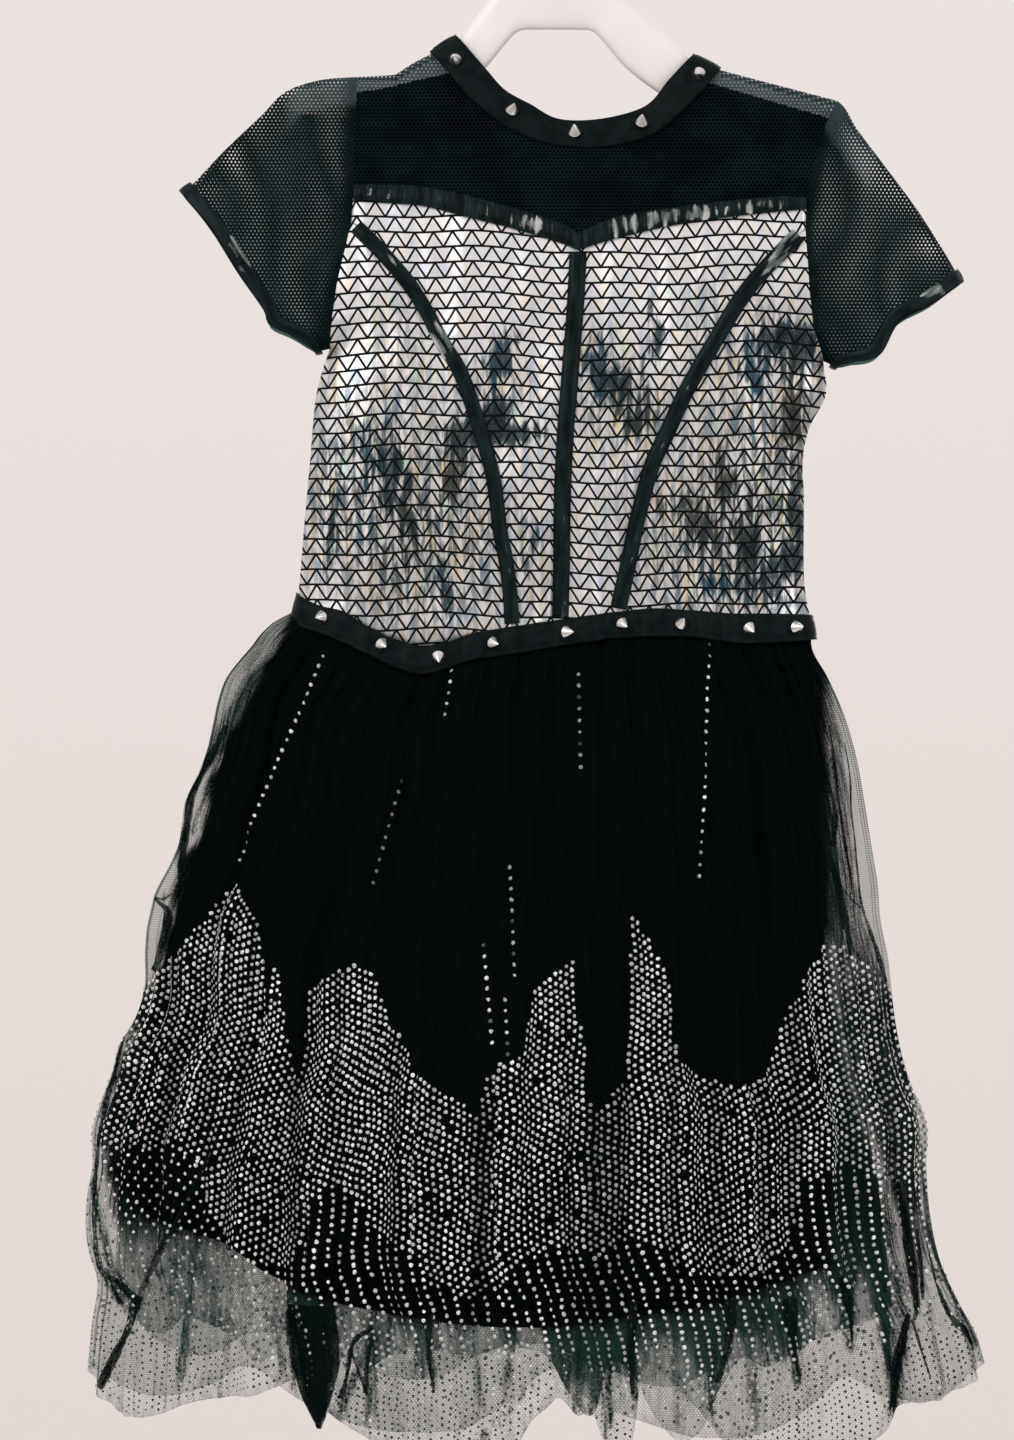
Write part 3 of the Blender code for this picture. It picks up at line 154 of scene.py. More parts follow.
# Soft folds of the upper part: side, x and z of each end, half width, height.
BODY_FOLDS = (
    (-1, -112, -150, -98, -186, 18, -1.2), (-1, 100, -150, 124, -186, 18, 1.3),
    (-1, -128, -330, -120, -440, 22, 1.7), (-1, -90, -290, -84, -450, 20, -1.8),
    (-1, -14, -300, -46, -372, 20, -2.2), (-1, 30, -300, 46, -372, 18, -1.6), (-1, 98, -370, 104, -450, 20, -2),
    (-1, 136, -290, 130, -420, 18, -2), (1, -90, -240, -76, -440, 24, -2), (1, 12, -220, 4, -440, 24, 1.8),
    (1, 102, -250, 92, -440, 24, -2), (-1, -205, -190, -176, -256, 20, -2.2), (-1, 226, -232, 200, -280, 18, -2),
    (1, -200, -190, -174, -252, 20, -2), (1, 222, -232, 198, -278, 18, -1.8),
    (-1, -128, -215, -122, -300, 6, 0.9), (-1, -96, -218, -92, -262, 5, -0.8), (-1, -62, -225, -66, -300, 6, 0.8),
    (-1, -30, -240, -36, -330, 7, -0.9), (-1, -104, -300, -108, -420, 6, 1), (-1, -70, -380, -76, -490, 6, 1),
    (-1, -138, -380, -146, -470, 6, -0.9), (-1, -20, -400, -16, -480, 5, -0.7), (-1, 36, -245, 30, -320, 6, 0.8),
    (-1, 62, -240, 66, -310, 6, -0.9), (-1, 96, -232, 92, -270, 5, 0.8), (-1, 24, -390, 20, -470, 5, 0.8),
    (-1, 78, -400, 82, -470, 6, 0.9), (-1, 118, -330, 112, -440, 6, 1), (-1, 146, -340, 148, -450, 5, 0.9),
    (1, -120, -240, -112, -330, 8, 1), (1, -40, -300, -34, -460, 7, -1), (1, 46, -260, 52, -400, 8, 1),
    (1, 128, -330, 122, -460, 7, -1), (-1, -222, -182, -196, -238, 7, 1.4), (-1, -180, -150, -160, -230, 9, 1.3),
    (-1, -160, -190, -148, -280, 7, -1.4), (-1, 240, -226, 226, -276, 7, 1.4), (-1, 206, -190, 190, -260, 8, 1.2),
    (-1, 182, -220, 178, -300, 7, -1.4), (1, -180, -160, -158, -260, 9, 1.3), (1, 206, -200, 186, -280, 9, 1.3),
)

# Outline of the outer net at its drop below the waist seam: drop, x.
OUTER_LEFT = (
    (0, -175.5), (3, -181), (6, -187), (14, -196.5), (23, -203.5), (34, -213), (44, -220.4), (58, -225.6),
    (74, -229), (92, -233), (108, -239), (118, -244), (126.5, -247.5), (141, -249.5), (155, -252), (167, -257.4),
    (188, -268), (199, -270.6), (208, -272.6), (224, -273.9), (251, -274.6), (266, -279.2), (289, -291.7),
    (303, -295), (324, -302.9), (340, -307.6), (369, -308.2), (383, -310.9), (421, -310.2), (440, -304.3),
    (469, -307.6), (499, -310.2), (560, -311),
)
OUTER_RIGHT = (
    (0, 166.2), (15, 167), (30.5, 175.6), (57.6, 187.4), (86, 195.4), (116, 200.6), (150, 205.9), (167, 208.6),
    (192, 210.5), (217, 215.2), (244, 217.8), (264, 220.4), (295, 227.7), (325, 239.3), (357, 239.6),
    (388, 242.2), (419, 249.5), (446, 262), (464, 271.9), (483, 277.9), (560, 281),
)

# Depth of the outer net: drop, front, back.
OUTER_DEPTH = (
    (0, 22, 17.5), (11, 22.4, 18), (20, 27, 22), (44, 34, 27), (67, 40, 30), (127, 52, 35), (187, 60, 40),
    (257, 67, 45), (320, 73, 48), (385, 79, 52), (441, 83, 55), (560, 88, 59),
)

# The inner net and the lining: drop, x at the left, x at the right, depth in front, depth at the back.
INNER_ROWS = (
    (0, -174.9, 165.7, 22, 17.5), (14, -175.4, 166, 22, 17.6), (44, -206, 170, 28.5, 22), (95, -224, 176, 38, 25),
    (130, -232, 182, 43, 26), (162, -243, 186, 47, 28), (226, -262, 189, 53, 31), (291, -277, 197, 59, 34),
    (348, -289, 207, 63, 36), (420, -294, 217, 68, 39), (520, -295, 226, 73, 42),
)
LINING_ROWS = (
    (0, -174.9, 165.7, 22, 17.5), (16, -175, 165.8, 22, 17.5), (44, -196, 167.5, 25, 18.6),
    (95, -212, 168.5, 32, 19.5), (162, -232, 170, 39, 21), (226, -249, 172, 44, 23), (291, -267, 175, 48, 25),
    (348, -280, 176.5, 51, 27), (430, -283, 178, 55, 29),
)

# Folds of the skirt, right round from the back: width in degrees, crest height, trough depth.
SKIRT_FOLDS = (
    (14, 0.8, 0.7), (12, 0.6, 0.9), (15, 1, 0.6), (13, 0.5, 0.8), (12, 0.9, 0.9), (14, 0.7, 0.5), (12, 1, 0.8),
    (10, 0.6, 0.7), (11, 1, 0.6), (12, 0.5, 1), (13, 0.9, 0.7), (10, 0.7, 0.9), (14, 1, 1), (11, 0.6, 0.6),
    (13, 0.9, 0.8), (12, 0.8, 1), (11, 1, 0.7), (14, 0.6, 0.9), (12, 0.9, 0.8), (13, 0.7, 1), (11, 1, 0.6),
    (14, 0.8, 0.9), (12, 0.6, 0.8), (11, 1, 1), (14, 0.7, 0.6), (12, 0.9, 0.8), (15, 0.6, 0.7), (13, 1, 0.9),
)

# Smaller folds between them: folds in a turn, height near the waist and at the hem, phase, drift.
SMALL_FOLDS = (
    (47, 1.6, 2.2, 0.4, 1.1), (71, 1.5, 1.3, 2.1, -1.6), (109, 1.2, 0.5, 4, 1.9), (163, 0.8, 0, 1.2, -0.8),
)

# Lower edges of the skirt layers: x, z.
OUTER_HEM_FRONT = (
    (-311, -976), (-303, -990.4), (-277, -1005.6), (-262, -1003), (-240.9, -994.4), (-220, -990.5),
    (-198, -987.8), (-186, -983), (-171, -978.6), (-164, -984), (-147, -1000), (-134, -1010), (-118.8, -1019),
    (-95, -1030), (-72.6, -1034), (-45, -1027), (-29, -1020), (-20.5, -1004), (-9, -994), (-2, -988),
    (10.5, -1000), (22, -1002), (26, -1013), (36, -1023), (46, -1012), (50, -984), (56, -967), (66, -972),
    (78, -985), (93, -1001), (107, -1020), (125, -1030), (158.4, -1033), (180, -1028), (197, -1022), (210, -1011),
    (220, -999), (238, -995), (258, -990.4), (275, -981), (282, -972),
)
OUTER_HEM_BACK = (
    (-311, -976), (-290, -992), (-262, -1000), (-232, -992), (-205, -982), (-180, -1000), (-140, -1020),
    (-100, -1027), (-70, -1026), (-30, -1004), (-5, -986), (20, -1004), (60, -1022), (100, -1030), (140, -1026),
    (170, -1006), (190, -988), (215, -1000), (240, -1004), (262, -994), (282, -972),
)
INNER_HEM_FRONT = (
    (-298, -930), (-280, -945), (-262, -951), (-246, -938), (-232, -944), (-215, -952), (-196, -968),
    (-184, -964), (-176, -976), (-168, -992), (-157, -1006), (-149, -990), (-142, -966), (-128, -972),
    (-112, -964), (-92, -958), (-66, -962), (-40, -960), (-20, -958), (-4, -968), (4, -984), (22, -998),
    (32, -970), (48, -976), (62, -1004), (81, -1019), (94, -1008), (104, -984), (120, -966), (138, -972),
    (156, -962), (180, -950), (204, -946), (226, -936),
)
INNER_HEM_BACK = (
    (-298, -930), (-270, -960), (-240, -972), (-205, -958), (-170, -962), (-130, -982), (-90, -990), (-50, -972),
    (-10, -966), (35, -984), (80, -994), (115, -976), (150, -968), (190, -956), (226, -936),
)
LINING_HEM_FRONT = (
    (-288, -868), (-278, -875), (-251, -884), (-223, -893), (-200, -908), (-181, -918), (-150, -930),
    (-120, -936), (-66, -944), (-10, -946), (60, -938), (90, -934), (115, -928), (150, -918), (178, -910),
)
LINING_HEM_BACK = ((-288, -868), (-200, -906), (-90, -926), (0, -936), (110, -926), (178, -910))

# Narrow pleats and twists of each net: side, x and z of each end, half width, height, darkness, which closes the net
# in the pleat as painted shade.
PLEATS = {
    "outer": (
        (-1, -196, -510, -230, -575, 5, 1.5, 0.8), (-1, -229.7, -577, -246, -601.7, 1.7, 1.5, 0.8),
        (-1, -225, -574.6, -241.6, -623.5, 1.5, 1.5, 0.7), (-1, -247.5, -620, -250, -641, 3, 1.5, 0.8),
        (-1, -267, -665.7, -255.4, -669, 1.3, 1, 0.8), (-1, -255.4, -669, -259.4, -698, 3, 1.5, 0.75),
        (-1, -274.6, -739.6, -295, -789.8, 2, 1.5, 0.7), (-1, -286.4, -778, -301, -827.4, 2.5, 1.5, 0.75),
        (-1, -308, -853.8, -295, -909, 2.4, 2, 0.75), (-1, -295, -909, -277, -930, 2.4, 2, 0.8),
        (-1, -303.6, -912, -286, -934, 1.5, 1, 0.6), (-1, -296, -918, -277, -932, 2.6, 1.5, 0.98),
        (-1, -266, -905, -238, -908, 1, 0.6, 0.4), (-1, -240, -890, -272, -924, 1.6, 1.5, 0.5),
        (-1, -186.8, -772, -272, -912, 2.2, 2, 0.6), (-1, -214, -930, -222, -990, 1.6, 2, 0.35),
        (-1, -190, -930, -178, -980, 2, 2, 0.5), (-1, -116.8, -944, -137, -982, 2, 2, 0.8),
        (-1, -137, -982, -144, -1000, 3, 2, 0.8), (-1, -85, -950, -82, -980, 1.5, 1.5, 0.7),
        (-1, -15, -974, -56, -1020, 1.8, 2, 0.55), (-1, -30, -940, -36, -985, 2, 2, 0.5),
        (-1, 11.2, -940, 9.2, -998, 2.2, 3, 0.6), (-1, 34.3, -900, 30, -1004, 3, 3, 0.6),
        (-1, 42.9, -880, 47, -988, 2.4, 3, 0.88), (-1, 105, -915, 95.7, -997, 2.2, 3, 0.75),
        (-1, 149, -905, 152.5, -976, 2.6, 3, 0.85), (-1, 188, -910, 188, -958, 2.2, 2, 0.8),
        (-1, 209, -890, 215, -997, 2, 2, 0.65), (-1, 227, -938, 216.5, -999, 3.4, 3, 0.92),
        (-1, 215, -850, 222.4, -938, 2.4, 2.5, 0.75), (-1, 227, -860, 233, -936, 2, 2, 0.65),
        (-1, 236, -820, 243, -890, 1.6, 1.5, 0.6), (-1, 241.6, -886, 272, -960, 2.4, 2, 0.8),
        (-1, 236, -900, 250, -985, 1.2, 1, 0.45), (1, -240, -880, -252, -985, 3, 4, 0.8),
        (1, -180, -890, -176, -995, 2, 3, 0.6), (1, -120, -900, -126, -1015, 3, 4, 0.75),
        (1, -60, -920, -52, -1018, 2, 3, 0.5), (1, 20, -880, 14, -990, 3.2, 4, 0.8),
        (1, 74, -910, 80, -1020, 2, 3, 0.5), (1, 120, -900, 132, -1015, 3, 4, 0.75),
        (1, 206, -860, 220, -985, 3, 4, 0.8),
    ),
    "inner": (
        (-1, -164, -900, -157, -1004, 12, 3, 0.95), (-1, -252, -890, -250, -945, 7, 2, 0.5),
        (-1, -236, -900, -224, -944, 6, 2, 0.6), (-1, -128, -930, -120, -975, 4, 2, 0.7),
        (-1, -109, -925, -114, -962, 3, 2, 0.7), (-1, -88, -925, -84, -958, 3, 2, 0.7),
        (-1, -62, -925, -64, -956, 5, 2, 0.6), (-1, -34, -925, -30, -960, 4, 2, 0.7),
        (-1, -4, -925, 2, -980, 5, 2, 0.6), (-1, 26, -925, 28, -998, 6, 2, 0.75),
        (-1, 48, -915, 46, -975, 5, 2, 0.75), (-1, 108, -915, 100, -985, 5, 2, 0.7),
        (-1, 128, -915, 135, -970, 5, 2, 0.6), (-1, 150, -905, 153, -966, 5, 2, 0.85),
        (-1, 188, -890, 188, -950, 5, 2, 0.8), (-1, 208, -870, 210, -945, 4, 2, 0.7),
        (1, -150, -900, -154, -970, 5, 2, 0.6), (1, -90, -910, -92, -985, 4, 2, 0.7),
        (1, -30, -900, -36, -970, 5, 2, 0.6), (1, 40, -910, 36, -980, 4, 2, 0.7),
        (1, 90, -900, 94, -990, 5, 2, 0.6), (1, 160, -890, 166, -960, 4, 2, 0.7),
    ),
}

# Where the gathered layers turn from see-through to black at the sides, closed and painted in shade: z, x at the
# left, x at the right.
BLACK_EDGES = (
    (-477, -173, 165), (-505, -186, 174), (-532, -202, 181), (-562, -216, 186.5), (-586, -229, 190.5),
    (-609, -232, 192), (-627, -237, 194), (-643, -247, 195.5), (-657, -252, 196.5), (-671, -253.6, 199),
    (-685, -255, 203), (-698, -259, 208), (-719, -266, 215), (-735, -274, 222), (-768, -284, 229),
    (-801, -295, 236), (-834, -300, 239), (-867, -296, 240), (-900, -284, 236),
)

# Pale streaks in the dark net at the right of the front: z, x.
PALE_STREAK = (
    (-690, 178), (-752.6, 184.8), (-787.8, 191.4), (-814, 200.2), (-836.2, 207.9), (-853.8, 212.3),
    (-884.6, 222.2), (-920, 226),
)

# How far down the gathered nets are closed and dark below the lining, as painted shade: x, z.
FINGERS = (
    (-290, -880), (-250, -895), (-190, -900), (-171.6, -925), (-150, -940), (-142, -933), (-132, -933),
    (-128, -905), (-115.5, -926), (-103.6, -956), (-80.5, -956), (-75.9, -947), (-39.6, -944), (-33, -956),
    (-26, -944), (-17, -946), (-9.9, -966), (0, -990), (26.4, -994), (40, -999), (52.8, -963), (69.3, -961),
    (83.8, -972), (102.3, -989), (108.9, -950), (118.8, -966), (138.6, -960), (145.2, -976.6), (155.8, -970),
    (158.4, -922), (173.6, -922), (178.2, -940), (190, -940), (194.7, -920), (206.6, -930), (211, -972),
    (224, -982), (228, -940), (237.6, -926), (250.8, -900), (282, -880),
)

# Creases of the front where the nets are rolled or twisted, painted dark as painted shade: how closed, how much
# painted light stays, height on the outer net, and x, z and width along.
CREASES = (
    (0.95, 0.2, 1, ((-219.3, -553.8, 3), (-230, -575.1, 6), (-239, -587.5, 7.5), (-243.5, -603.5, 6),
        (-246, -624.8, 5), (-249, -642.6, 5), (-250, -660, 2))),
    (0.93, 0.2, 1, ((-268, -667, 1.4), (-263, -671, 3), (-258, -676, 5), (-259, -690, 7), (-263, -705, 6),
        (-268, -716, 3))),
    (0.9, 0.2, 1, ((-267, -667, 1), (-261, -668, 1.6), (-255, -664, 1))),
    (0.9, 0.3, 1, ((-286, -752, 1.5), (-293, -778, 4.5), (-299.5, -806, 4), (-304.5, -832, 2.5))),
    (0.9, 0.3, 1, ((-303.5, -828, 2), (-306.5, -860.4, 3.5), (-306, -889, 3), (-302.5, -911, 4),
        (-290.4, -918.7, 4.5), (-278.3, -928.6, 6))),
    (0.98, 0.25, 1, ((-276.1, -926, 7), (-279.5, -937, 7), (-282.7, -948.4, 4.5), (-291.5, -966, 6),
        (-299.2, -981.4, 6.5), (-303, -990, 4))),
    (0.9, 0.3, 1, ((-297, -910.8, 3), (-293.7, -922, 1.6), (-288.2, -933, 4.5))),
    (0.72, 0.15, 1, ((-223, -822, 1.5), (-235.4, -847.2, 3.5), (-246.4, -869.2, 3), (-257.4, -889, 5),
        (-268.4, -911, 4), (-275, -926, 4))),
    (0.985, 0.22, 1, ((-162, -929, 31), (-162, -940, 34), (-160.5, -955, 34), (-159, -970, 31),
        (-158.5, -985, 22), (-157, -998, 12), (-156.5, -1009, 2))),
    (0.94, 0.35, 1, ((-121, -944, 2), (-134.2, -952.8, 3.4), (-138.6, -974.8, 2.6), (-143, -990, 4))),
    (0.9, 0.35, 1, ((-136.6, -957, 1.2), (-125.4, -988, 1.8))),
    (0.9, 0.35, 1, ((-122, -947, 1.5), (-125.4, -966, 3), (-126.7, -987, 4))),
    (0.97, 0.2, 1, ((226.8, -938, 3), (223, -954.9, 6), (218.8, -971, 7), (215.8, -997.4, 5))),
    (0.9, 0.3, 1, ((229.3, -941, 2.4), (235.3, -961.5, 1.6), (241.2, -979, 0.8))),
    (0.95, 0.25, 1, ((242.7, -901.6, 1.5), (248.7, -925.5, 2.4), (257.7, -943.5, 4.2), (266, -951.5, 4.4),
        (271, -961.4, 2))),
    (0.95, 0.2, 1, ((221, -852, 2), (226, -880, 5.5), (229.3, -901.6, 7), (233, -930, 5), (231, -942, 2.5))),
    (0.9, 0.2, 1, ((234, -884, 2), (236, -905, 3.2), (237.6, -931, 2.4))),
    (0.93, 0.35, 1, ((184, -912, 9), (186.5, -926, 6.5), (188.2, -938, 3.2), (189.4, -956, 1.2))),
    (0.9, 0.35, 1, ((148.4, -926, 11), (149.3, -944, 9), (150.5, -961.5, 6), (155.9, -977, 1.6))),
    (0.88, 0.35, 1, ((110.9, -926, 7), (107.9, -955, 6.5), (100.5, -978, 3))),
    (0.86, 0.35, 1, ((47, -926, 6), (45, -955, 5), (46, -986, 2))),
    (0.86, 0.35, 1, ((-84, -934, 4), (-86, -958, 3.2), (-82, -984, 1.4))),
    (0.92, 0.3, 1, ((170.1, -557, 1.5), (173.4, -577.3, 2.2), (176.4, -594.2, 2.4), (179.4, -606, 3),
        (180.2, -617.9, 4.2), (178.5, -633.1, 3.4))),
    (0.95, 0.3, 1, ((172.5, -628, 2.4), (176, -640, 4), (181.1, -655.1, 5.2), (185.3, -675.4, 5.4),
        (188.7, -694, 3.6), (190.4, -707, 1.6))),
    (0.85, 0.35, 1, ((176.4, -553.6, 1.2), (180.2, -580.7, 2.4), (182.8, -601, 1.8), (187, -631.4, 2.2),
        (190.4, -651.7, 1.4), (191.6, -665.3, 1))),
    (0.86, 0.4, 1, ((187, -565, 0.8), (190.4, -587.4, 1.2), (191.2, -609.4, 1.4), (193.2, -626.4, 1.2),
        (195.5, -651.7, 1.4), (198, -672, 1.8), (204.8, -692.4, 3), (210.7, -709.3, 3.4), (214.9, -724, 2))),
    (0.86, 0.4, 1, ((185.8, -661.9, 0.8), (191.2, -667.8, 1), (198.3, -674.6, 0.8))),
    (0.995, 0, -3, ((-163, -893, 30), (-163, -915, 31), (-162, -940, 32))),
    (0.95, 0.1, -3, ((186, -845, 14), (188, -880, 12), (190, -905, 7), (190, -922, 2))),
    (0.93, 0.1, -3, ((203, -850, 9), (206, -880, 8), (209, -912, 6), (212, -945, 6), (214, -975, 3))),
)

# Upper and lower limits of the dense glitter dots on the front: x, z.
DOTS_FROM = (
    (-311, -770), (-300, -760), (-272, -722), (-258.7, -709.9), (-229, -674.9), (-211.2, -657), (-196.7, -684.2),
    (-186.8, -694.1), (-184.1, -712), (-185.5, -734), (-190, -750), (-174, -778), (-168, -776), (-165, -727),
    (-152.5, -717), (-135.3, -708), (-121.4, -715), (-113.5, -739), (-99, -766.7), (-89.8, -783.2), (-64, -799),
    (-52.8, -809), (-51.5, -786.5), (-41.6, -773.3), (-25.7, -768.7), (-22.4, -751.5), (-17.8, -727.7),
    (-10.6, -718.5), (10.6, -705.3), (14, -730), (10.6, -775.9), (16.5, -792.4), (22.4, -803), (40.9, -784.5),
    (43.6, -739), (46.2, -675.6), (58, -693.4), (67.3, -711.9), (71.3, -724.4), (75.2, -764), (80.5, -773.9),
    (92.4, -781.2), (117.5, -788.5), (134, -778.6), (141.2, -757.4), (148.5, -740.3), (157.7, -720.5),
    (170.9, -698), (185.5, -698), (206, -715), (225, -735), (282, -770),
)
DOTS_TO = (
    (-311, -832), (-270.6, -830.7), (-240.9, -834), (-227.7, -876.9), (-211.2, -893.4), (-184.8, -907.9),
    (-171.6, -903.3), (-159.7, -857.1), (-141.9, -853.8), (-122.1, -876.9), (-99, -900), (-72.6, -923.1),
    (-39.6, -919.8), (-26.4, -896.7), (0, -890.1), (26.4, -896.7), (42.9, -883.5), (66, -896.7), (92.4, -909.9),
    (132, -907.9), (148.5, -893.4), (158.4, -850.5), (191.4, -840.6), (217.8, -850.5), (244.2, -867), (282, -870),
)

# The same limits on the back.
BACK_DOTS_FROM = (
    (-311, -770), (-250, -700), (-215, -668), (-180, -720), (-150, -780), (-120, -730), (-90, -700), (-55, -760),
    (-30, -805), (0, -730), (30, -680), (60, -740), (90, -800), (125, -740), (160, -700), (200, -730),
    (282, -770),
)
BACK_DOTS_TO = (
    (-311, -832), (-240, -880), (-180, -850), (-120, -900), (-60, -870), (0, -915), (60, -880), (120, -905),
    (180, -855), (282, -870),
)

# Single files of dots above the dense ones: side, x and z of each end, pitch, brightness.
DOT_FILES = (
    (-1, -155.8, -508.6, -213.8, -647, 6.6, 0.8), (-1, -71.3, -518, -76, -550, 7.2, 0.7),
    (-1, -104, -590, -123.4, -661, 7.6, 0.16), (-1, 11.9, -520, 13.2, -586.5, 7.6, 0.3),
    (-1, 97.7, -500.7, 91, -652.5, 7.2, 0.85), (-1, -33, -646, -29.7, -721.8, 7, 0.55),
    (-1, -50.2, -696.7, -44.2, -764.7, 7, 0.85), (-1, -36.3, -731.7, -34.3, -768, 7, 0.7),
    (1, -150, -520, -190, -650, 7.4, 0.8), (1, -40, -520, -44, -640, 7.4, 0.8), (1, 60, -520, 70, -660, 7.4, 0.8),
    (1, 120, -520, 140, -610, 7.4, 0.6),
)

# Upright bands in which a fold veils the dots, painted as darker dots, as painted shade: x at the top and at the hem,
# half width, veil.
VEILS = (
    (-250, -262, 6, 0.45), (-222, -236, 4, 0.3), (-196, -230, 4, 0.45), (-171, -172, 5, 0.55),
    (-146, -144, 4, 0.35), (-108, -104, 5, 0.4), (-80, -84, 4, 0.35), (-54, -52, 6, 0.65), (-34, -60, 5, 0.4),
    (2, 8, 4, 0.35), (24, 20, 9, 0.7), (40, 34, 8, 0.6), (76, 70, 5, 0.5), (98, 104, 5, 0.4), (130, 132, 5, 0.4),
    (154, 150, 5, 0.5), (184, 196, 6, 0.5), (208, 226, 6, 0.5),
)

# Where the neckline trim catches the light: x, share.
TRIM_SHINE = (
    (-140, 0.1), (-132, 0.55), (-112, 0.65), (-103, 0.1), (-87, 0.45), (-77, 0.1), (-69, 0.6), (-58, 0.25),
    (-46, 0.6), (-26, 0.75), (0, 0.65), (8, 0.2), (26, 0.4), (36, 0.85), (70, 0.95), (92, 0.9), (106, 0.45),
    (120, 0.8), (145, 0.8), (156, 0.1), (170, 0.1),
)

# Hanger, from end to end: x, top z, bottom z, half depth.
HANGER = (
    (-180.6, -141.6, -145.6, 2), (-177.5, -139, -148.2, 3.2), (-170, -135.4, -150.4, 3.8),
    (-158.4, -131.6, -151.8, 4.2), (-134, -129.4, -152.9, 4.2), (-110, -128.6, -153.6, 4.2),
    (-97, -121.2, -153.2, 4.2), (-85.1, -115, -150.4, 4.2), (-76, -109.4, -145.4, 4.2), (-68, -102.6, -139, 4.6),
    (-58, -89, -129.4, 5.6), (-46.9, -75, -117.6, 6), (-36, -61.5, -104.2, 6), (-27, -53, -95.5, 6),
    (-13, -46.8, -94.6, 6), (0, -45, -94.6, 6), (13, -48, -94.8, 6), (22, -55, -96, 6), (31, -64, -105.6, 6),
    (42.2, -75, -118.8, 6), (58, -88.5, -131.6, 6), (76, -104, -143.4, 5.4), (87, -115.4, -148.8, 4.4),
    (96, -120.6, -151.8, 4.2), (105.6, -125.2, -154.4, 4.2), (135.3, -133, -159.4, 4.2),
    (158.4, -139, -161.4, 4.2), (172, -143.4, -160.4, 3.8), (177, -147.2, -158.6, 3), (179.4, -150.2, -156, 2),
)

# Cone studs: x, z, and how far each leans sideways and up, in degrees.
COLLAR_STUDS = (
    (-69, -115, -4, 6), (-31.7, -149, 12, 26), (9.5, -164, 0, 36), (53.5, -157.5, 4, 36), (91, -125.5, -3, -8),
)
WAIST_STUDS = (
    (-156.5, -483, -14, -6), (-116.5, -501.2, 26, -14), (-80, -509, 4, -30), (-44, -500, 22, -4),
    (4, -492.6, 40, 2), (41, -487.4, 24, -14), (80, -486.6, 18, 22), (123, -490.4, 10, -24), (154, -489.6, 24, 0),
)

# Blurred dark and tinted patches in the foil: x, z, half width, half height, darkness, tint.
FOIL_PATCHES = (
    (-38, -312, 9, 16, 0.55, 0.8), (-44, -350, 9, 12, 0.6, 0.4), (-34, -362, 24, 7, 0.8, 0.2),
    (-66, -366, 10, 16, 0.5, 0), (-72, -392, 8, 16, 0.45, -0.6), (-112, -390, 8, 30, 0.45, 0.3),
    (-128, -374, 7, 26, 0.35, 0.5), (-100, -420, 7, 36, 0.4, -0.4), (-150, -420, 8, 44, 0.3, 0.2),
    (-76, -462, 7, 24, 0.35, 0.3), (-20, -440, 8, 26, 0.25, 0.6), (24, -316, 9, 20, 0.45, 0.9),
    (40, -332, 14, 12, 0.4, 0), (50, -352, 12, 14, 0.4, -0.3), (62, -300, 7, 30, 0.3, 0.3),
    (142, -300, 16, 10, 0.92, 0.2), (158, -308, 7, 16, 0.85, 0.1), (128, -324, 8, 16, 0.5, 0.9),
    (152, -350, 9, 22, 0.45, -0.7), (108, -396, 9, 24, 0.4, -0.5), (90, -420, 12, 22, 0.35, -0.3),
    (124, -436, 9, 26, 0.5, -0.2), (156, -410, 8, 34, 0.5, 0), (104, -462, 14, 10, 0.35, 0.9),
    (138, -464, 14, 12, 0.4, 0.4), (150, -446, 10, 12, 0.5, 0.1), (70, -410, 7, 20, 0.2, -0.6),
)

# Large parts of the foil painted dim and streaked, as painted shade: x, z, half width, half height, share.
FOIL_SHADE = (
    (-128, -400, 52, 85, 0.75), (-84, -440, 44, 60, 0.7), (-42, -345, 30, 34, 0.6), (-24, -446, 34, 60, 0.35),
    (26, -330, 26, 34, 0.6), (48, -350, 24, 34, 0.55), (62, -424, 34, 56, 0.4), (128, -404, 48, 84, 0.85),
    (108, -450, 50, 44, 0.75), (146, -306, 34, 26, 0.9), (-100, -296, 20, 40, 0.25), (100, -290, 26, 40, 0.3),
)


def points(rows):
    return np.array(rows, dtype=float)


def within_one(value):
    return np.clip(value, 0.0, 1.0)


def soft_peak(off, reach):
    """1 where off is 0, falling away softly within the reach."""
    return np.exp(-((off / reach) ** 2))


def steps(count):
    return np.linspace(0.0, 1.0, count)


def layered(*parts):
    """The parts side by side along a new last axis, each spread out to the common shape."""
    return np.stack(np.broadcast_arrays(*parts), axis=-1)


def directed(vectors):
    return vectors / np.maximum(np.linalg.norm(vectors, axis=-1, keepdims=True), 1e-9)


def lengths_along(curve):
    return np.concatenate([[0.0], np.cumsum(np.linalg.norm(np.diff(curve, axis=0), axis=1))])


def column(rows, key, key_column=0, value_column=1):
    """Values read from a table, in a straight line from one row to the next."""
    table = points(rows)
    order = np.argsort(table[:, key_column])
    return np.interp(key, table[order, key_column], table[order, value_column])


def soft_column(rows, key, key_column=0, value_column=1):
    """Like column, with the corners of the table rounded."""
    table = points(rows)
    order = np.argsort(table[:, key_column])
    at, value = table[order, key_column], table[order, value_column]
    slope = np.gradient(value, at)
    place = np.clip(np.searchsorted(at, key) - 1, 0, len(at) - 2)
    span = at[place + 1] - at[place]
    s = within_one((key - at[place]) / span)
    return ((2 * s**3 - 3 * s**2 + 1) * value[place] + (s**3 - 2 * s**2 + s) * span * slope[place]
            + (3 * s**2 - 2 * s**3) * value[place + 1] + (s**3 - s**2) * span * slope[place + 1])


def cut(curve, count):
    """The curve as count equal steps along its length."""
    curve = points(curve)
    lengths = lengths_along(curve)
    places = np.linspace(0.0, lengths[-1], count + 1)
    return np.stack([np.interp(places, lengths, curve[:, axis]) for axis in range(2)], axis=1)


